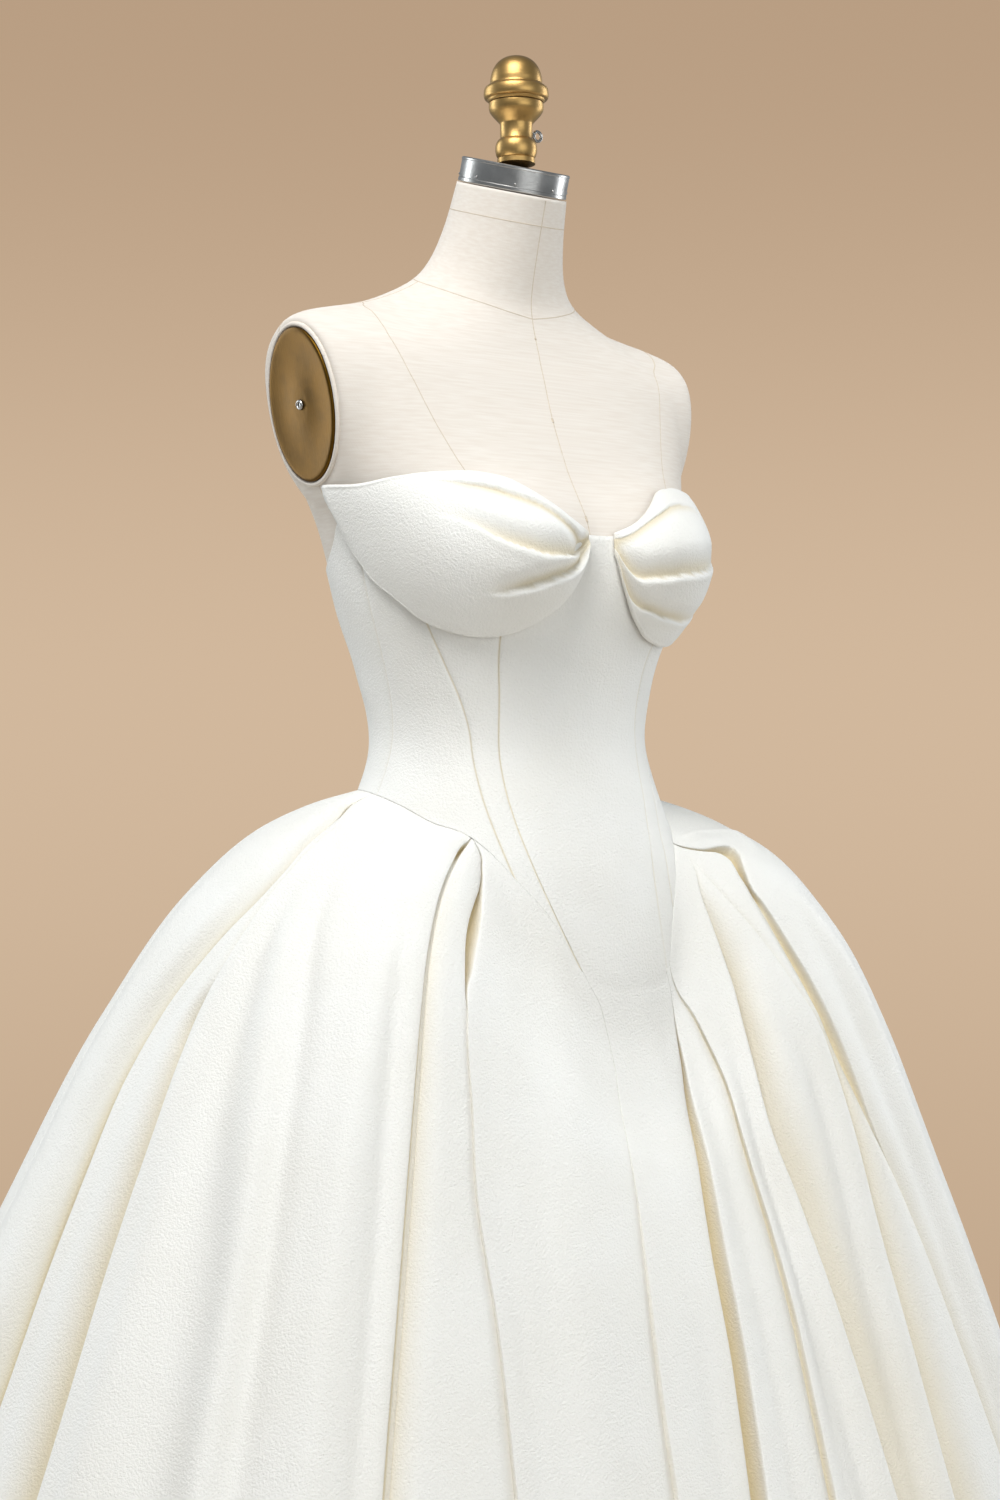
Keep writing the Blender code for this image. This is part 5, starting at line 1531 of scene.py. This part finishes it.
def build_centre_panel():
    """Body rows above, skirt rows below; their columns change over from 0.55 of the way."""
    gore, sink, painted_shade = skirt_columns(
        FOLD_NAMES.index("gore_right"), FOLD_NAMES.index("gore_left"), WAY)
    gore = seam_trim(gore, WAY)
    skirt = skirt_sheet(gore, sink, WAY)
    columns = gore.shape[1]
    downs = np.linspace(0, 1, 90)
    shares = crowded(columns)
    angle, _, span = bodice_grid(("princess", -1), ("princess", 1), shares, downs)
    waist = (gore[0] - gore[0, 0]) / (gore[0, -1] - gore[0, 0])
    mix = step(0.55, 1.0, downs)[:, None]
    share = shares[None, :] + (waist[None, :] - shares[None, :]) * mix
    angle = angle[:, :1] + (angle[:, -1:] - angle[:, :1]) * share
    top = neckline_height(angle)
    height = top + (waist_height(angle) - top) * downs[:, None]
    width = span * BODY_RADIUS
    distance = np.minimum(share, 1 - share) * width
    fade = 1 - step(0.80, 1.0, downs)[:, None]
    centre_line = CENTRE_DIP * np.exp(-(np.degrees(angle) / CENTRE_DEGREES) ** 2)
    lift = (drag_lines(angle, height) - pressed(distance) - centre_line) * fade
    bodice = bodice_points(angle, height) + bodice_normals(angle, height) * lift[..., None]
    grid = np.concatenate([bodice[:-1], skirt])
    # painted shade beside the two princess seams, fading out towards the waist
    shade = seam_shade(share, width, ("princess", -1), ("princess", 1)) * fade
    painted_shade = np.concatenate([shade[:-1], painted_shade])
    piece = cloth_wall("satin_front_centre_panel", grid, CLOTH, painted_shade)
    finish_piece(piece, IVORY, stands_for=["front_centre_panel"])


build_centre_panel()

# %% [markdown]
# ## The bust drapes
# Each drape is a petal of cloth over the bust, gathered tight at the centre front, whose
# pleats fade towards the arm.  It lies on the bodice as a dome, and the pleats are pressed
# into the dome.  A pleat has one crisp edge and one gentle slope, like the skirt's.

# %% Drape and pleat tables
# degrees from the centre front, height of the drape's edge
CUP_TOP = (
    (3.5, 1.2425), (10, 1.252), (16, 1.266), (21, 1.279), (28, 1.285), (40, 1.286),
    (57, 1.283), (73, 1.279), (89, 1.281),
)
CUP_BOTTOM = {
    -1: ((3.5, 1.230), (7, 1.213), (12, 1.193), (20, 1.175), (30, 1.163), (43, 1.160),
         (52, 1.164), (61, 1.172), (70, 1.188), (82, 1.215), (87, 1.240), (89, 1.262)),
    1: ((3.5, 1.226), (6, 1.208), (10, 1.188), (18, 1.168), (30, 1.158), (43, 1.158),
        (52, 1.164), (61, 1.172), (70, 1.188), (82, 1.215), (87, 1.240), (89, 1.262)),
}
# Each pleat: its path as rows of (along, up); which cloth stands proud (1 the upper, -1 the
# lower); the shares along the drape where it starts, is full, begins to fade and ends;
# its depth in mm; and the width of its gentle slope in mm.
CUP_PLEATS = {
    -1: (
        (((0, .60), (.06, .63), (.13, .68), (.21, .73), (.30, .79), (.37, .85), (.46, .90),
          (1, .95)),
         1, .02, .10, .34, .60, 3.6, 16),
        (((0, .50), (.18, .475), (.27, .46), (.35, .50), (.43, .56), (.49, .63), (1, .80)),
         -1, .04, .14, .34, .62, 6.0, 18),
        (((0, .36), (.15, .36), (.23, .33), (.32, .31), (.43, .295), (.60, .30), (1, .34)),
         -1, .05, .16, .34, .50, 7.5, 16),
    ),
    1: (
        (((0, .72), (.07, .85), (.12, .89), (.17, .88), (.23, .85), (.35, .83), (1, .88)),
         1, .02, .08, .24, .50, 2.2, 14),
        (((0, .28), (.09, .32), (.16, .41), (.23, .43), (.35, .46), (.55, .52), (1, .60)),
         -1, .03, .10, .36, .66, 6.0, 20),
        (((0, .05), (.09, .06), (.14, .11), (.20, .16), (.28, .175), (.50, .19), (1, .30)),
         -1, .05, .14, .36, .66, 5.0, 16),
    ),
}


print("pleats:", {side: len(pleats) for side, pleats in CUP_PLEATS.items()})

# %% The shape of a drape
CUP_START, CUP_END = 3.5, 89.0    # degrees from the centre front
CUP_EDGE = 0.0022         # how far the edge lies off the bodice
CUP_PINCH = 0.0016        # and the gathered inner end
CUP_DOME = 0.0140
CUP_DROOP = 0.0016
# strength of the painted shade in the pleats' valleys
CUP_PAINTED_SHADE = 0.62
PLEAT_RISE = 0.0020
# a small swell across the cloth: its rise, its distance from the line it follows, its width
TURNED_EDGE = (0.0007, 0.0016, 0.0012)
PLEAT_CROWN = (0.0009, 0.0035, 0.0032)


def pleat(distance, proud, gentle):
    """1 in the valley; a quick rounded rise on the proud side, half a cosine on the other."""
    ahead = np.clip(distance * proud / PLEAT_RISE, 0, 1)
    behind = np.clip(-distance * proud / (gentle * 0.001), 0, 1)
    crisp = 1 - np.sqrt(np.clip(1 - (1 - ahead) ** 2, 0, 1))
    soft = 0.5 + 0.5 * np.cos(math.pi * behind)
    return np.where(distance * proud > 0, crisp, soft)


def cup_points(side, along, up):
    """Bodice point + normal x (edge + dome x swell - pleats), and the painted shade of the
    pleats.

    swell = (4 u (1 - u))^0.6 for a share u of the way up.  The inner end turns down to the
    bodice as a quarter circle, a turned hem runs along both long edges, and the lower
    edge droops a little.
    """
    degrees = CUP_START + (CUP_END - CUP_START) * along ** 1.15
    low = through(CUP_BOTTOM[side], 1, degrees)
    high = through(CUP_TOP, 1, degrees)
    height = low + (high - low) * up
    angle = side * np.radians(degrees)
    normal = bodice_normals(angle, height)
    swell = np.clip(4 * up * (1 - up), 0, 1) ** 0.6
    swell = swell * step(-0.10, 0.22, along) * (1 - 0.75 * step(0.55, 1.0, along))
    from_edge = np.minimum(up, 1 - up) * (high - low)
    rise, inwards, width = TURNED_EDGE
    hem = rise * np.exp(-((from_edge - inwards) / width) ** 2)
    middle = step(0.03, 0.15, along) * (1 - step(0.7, 0.95, along))
    droop = CUP_DROOP * (1 - step(0, 0.14, up)) * middle
    lift = CUP_EDGE + CUP_DOME * swell + hem + droop
    painted_shade = np.zeros_like(lift)
    rise, beside, width = PLEAT_CROWN
    for line, proud, start, full, fading, end, depth, gentle in CUP_PLEATS[side]:
        distance = (up - through(line, 1, along)) * (high - low)
        fade = step(start - 0.10, full - 0.06, along) * (1 - step(fading, end, along))
        valley = pleat(distance, proud, gentle)
        lift = lift - depth * 0.001 * fade * valley * np.minimum(1.6 * swell, 1)
        crown = np.exp(-((distance * proud - beside) / width) ** 2)
        lift = lift + rise * fade * crown * swell
        # painted shade, strongest in each pleat's valley
        painted_shade = painted_shade + fade * valley ** 3
    turn = np.sqrt(np.clip(1 - (1 - np.clip(along / 0.02, 0, 1)) ** 2, 0, 1))
    lift = CUP_PINCH + (lift - CUP_PINCH) * turn
    points = bodice_points(angle, height) + normal * lift[..., None]
    return points, CUP_PAINTED_SHADE * np.clip(painted_shade, 0, 1)


print("a drape spans", CUP_START, "to", CUP_END, "degrees")

# %% Bust drapes
for side, label in ((-1, "right"), (1, "left")):
    along, up = np.meshgrid(np.linspace(0, 1, 116) ** 1.35, crowded(140))
    grid, painted_shade = cup_points(side, along, up[::-1])
    if side < 0:
        grid, painted_shade = grid[:, ::-1], painted_shade[:, ::-1]
    piece = cloth_wall(f"satin_bust_drape_{label}", grid, CLOTH, painted_shade)
    finish_piece(piece, IVORY, stands_for=[f"bust_drape_{label}"])

# %% [markdown]
# ## Floor, lights and camera
# White cloth shows its folds only when the light comes from one side.  So there is one
# large soft light from the front on the wearer's right, a weak fill, and two cool strips
# behind that edge the silhouette, named left and right as the camera sees them.  The
# floor is pale, and the world is tan where the camera sees it, with painted light that is
# brightest at mid height, and a dim even light for everything else.

# %% Floor and world
def flat_material(name, colour):
    """Paper or painted floor: a little cloudy and quite rough."""
    material, tree, shader = new_material(name, 0.8)
    clouds = noise(tree, coordinates(tree), 3.0, 3.0)
    low = tuple(0.94 * value for value in colour)
    colour_between(tree, shader, clouds, 0.3, 0.7, low, colour)
    return material


def build_floor(radius=2.3, sides=96):
    """One round face, half a millimetre under everything that stands on it."""
    turn = np.linspace(0, 2 * math.pi, sides, endpoint=False)
    ring = np.stack([radius * np.cos(turn), radius * np.sin(turn), 0 * turn - 0.0005], -1)
    floor = make_mesh("studio_floor", ring, [np.arange(sides)[None, :]])
    floor.data.materials.append(flat_material("pale floor", (0.62, 0.55, 0.47)))


def build_world():
    """Light Path picks: for the camera a tan, lightest at mid height as painted light, else an
    even light.
    """
    world = bpy.data.worlds.new("studio")
    bpy.context.scene.world = world
    world.use_nodes = True
    tree = world.node_tree
    tree.nodes.clear()
    seen = tree.nodes.new("ShaderNodeBackground")
    lit = tree.nodes.new("ShaderNodeBackground")
    mix = tree.nodes.new("ShaderNodeMixShader")
    path = tree.nodes.new("ShaderNodeLightPath")
    end = tree.nodes.new("ShaderNodeOutputWorld")
    place = tree.nodes.new("ShaderNodeTexCoord")
    split = tree.nodes.new("ShaderNodeSeparateXYZ")
    ramp = tree.nodes.new("ShaderNodeValToRGB")
    tree.links.new(place.outputs["Generated"], split.inputs["Vector"])
    tree.links.new(maths(tree, "ADD", split.outputs["Z"], 0.5), ramp.inputs["Fac"])
    # painted light on the backdrop: brightest at mid height, darker above and below
    ramp.color_ramp.interpolation = "EASE"
    ramp.color_ramp.elements[0].position = 0.20
    ramp.color_ramp.elements[1].position = 0.80
    ramp.color_ramp.elements[0].color = (0.53, 0.385, 0.26, 1)
    ramp.color_ramp.elements[1].color = (0.485, 0.343, 0.228, 1)
    ramp.color_ramp.elements.new(0.52).color = (0.64, 0.48, 0.337, 1)
    tree.links.new(ramp.outputs["Color"], seen.inputs["Color"])
    lit.inputs["Color"].default_value = (0.86, 0.93, 1.0, 1)
    lit.inputs["Strength"].default_value = 0.27
    tree.links.new(path.outputs["Is Camera Ray"], mix.inputs["Fac"])
    tree.links.new(lit.outputs[0], mix.inputs[1])
    tree.links.new(seen.outputs[0], mix.inputs[2])
    tree.links.new(mix.outputs[0], end.inputs["Surface"])


build_floor()
build_world()
print("floor and world ready")

# %% Lights and camera
MIDDLE = (0.0, 0.0, 1.0)


def area_light(name, place, size, power, colour):
    """A soft box that looks at the middle of the gown."""
    data = bpy.data.lights.new(name, "AREA")
    data.shape = "RECTANGLE"
    data.size, data.size_y = size
    data.energy = power
    data.color = colour
    lamp = bpy.data.objects.new(name, data)
    lamp.location = place
    lamp.rotation_euler = (Vector(MIDDLE) - Vector(place)).to_track_quat("-Z", "Y").to_euler()
    bpy.context.scene.collection.objects.link(lamp)


def around(azimuth, distance, height):
    """A place round the object: azimuth 0 is straight in front, positive to the left side."""
    turn = math.radians(azimuth)
    return (distance * math.sin(turn), -distance * math.cos(turn), height)


area_light("key", around(-52, 1.85, 3.8), (1.9, 1.9), 104.0, (0.97, 0.985, 1.0))
area_light("fill", around(-4, 3.8, 1.5), (2.8, 2.4), 42.0, (0.93, 0.975, 1.0))
area_light("rim_left", around(-150, 2.6, 1.7), (0.7, 2.4), 30.0, (0.88, 0.95, 1.0))
area_light("rim_right", around(82, 2.8, 1.6), (0.7, 2.4), 32.0, (0.90, 0.95, 1.0))

camera_data = bpy.data.cameras.new("camera")
camera_data.sensor_fit = "VERTICAL"
camera_data.sensor_height = 36.0
camera_data.lens = 58.75
camera = bpy.data.objects.new("camera", camera_data)
camera.location = (-1.2612, -1.6034, 1.07)
camera.rotation_euler = (math.radians(90), 0.0, math.radians(-38))
bpy.context.scene.collection.objects.link(camera)
bpy.context.scene.camera = camera
bpy.context.scene.view_settings.view_transform = "Standard"
print("lights:", len(bpy.data.lights), "- lens:", camera_data.lens, "mm")
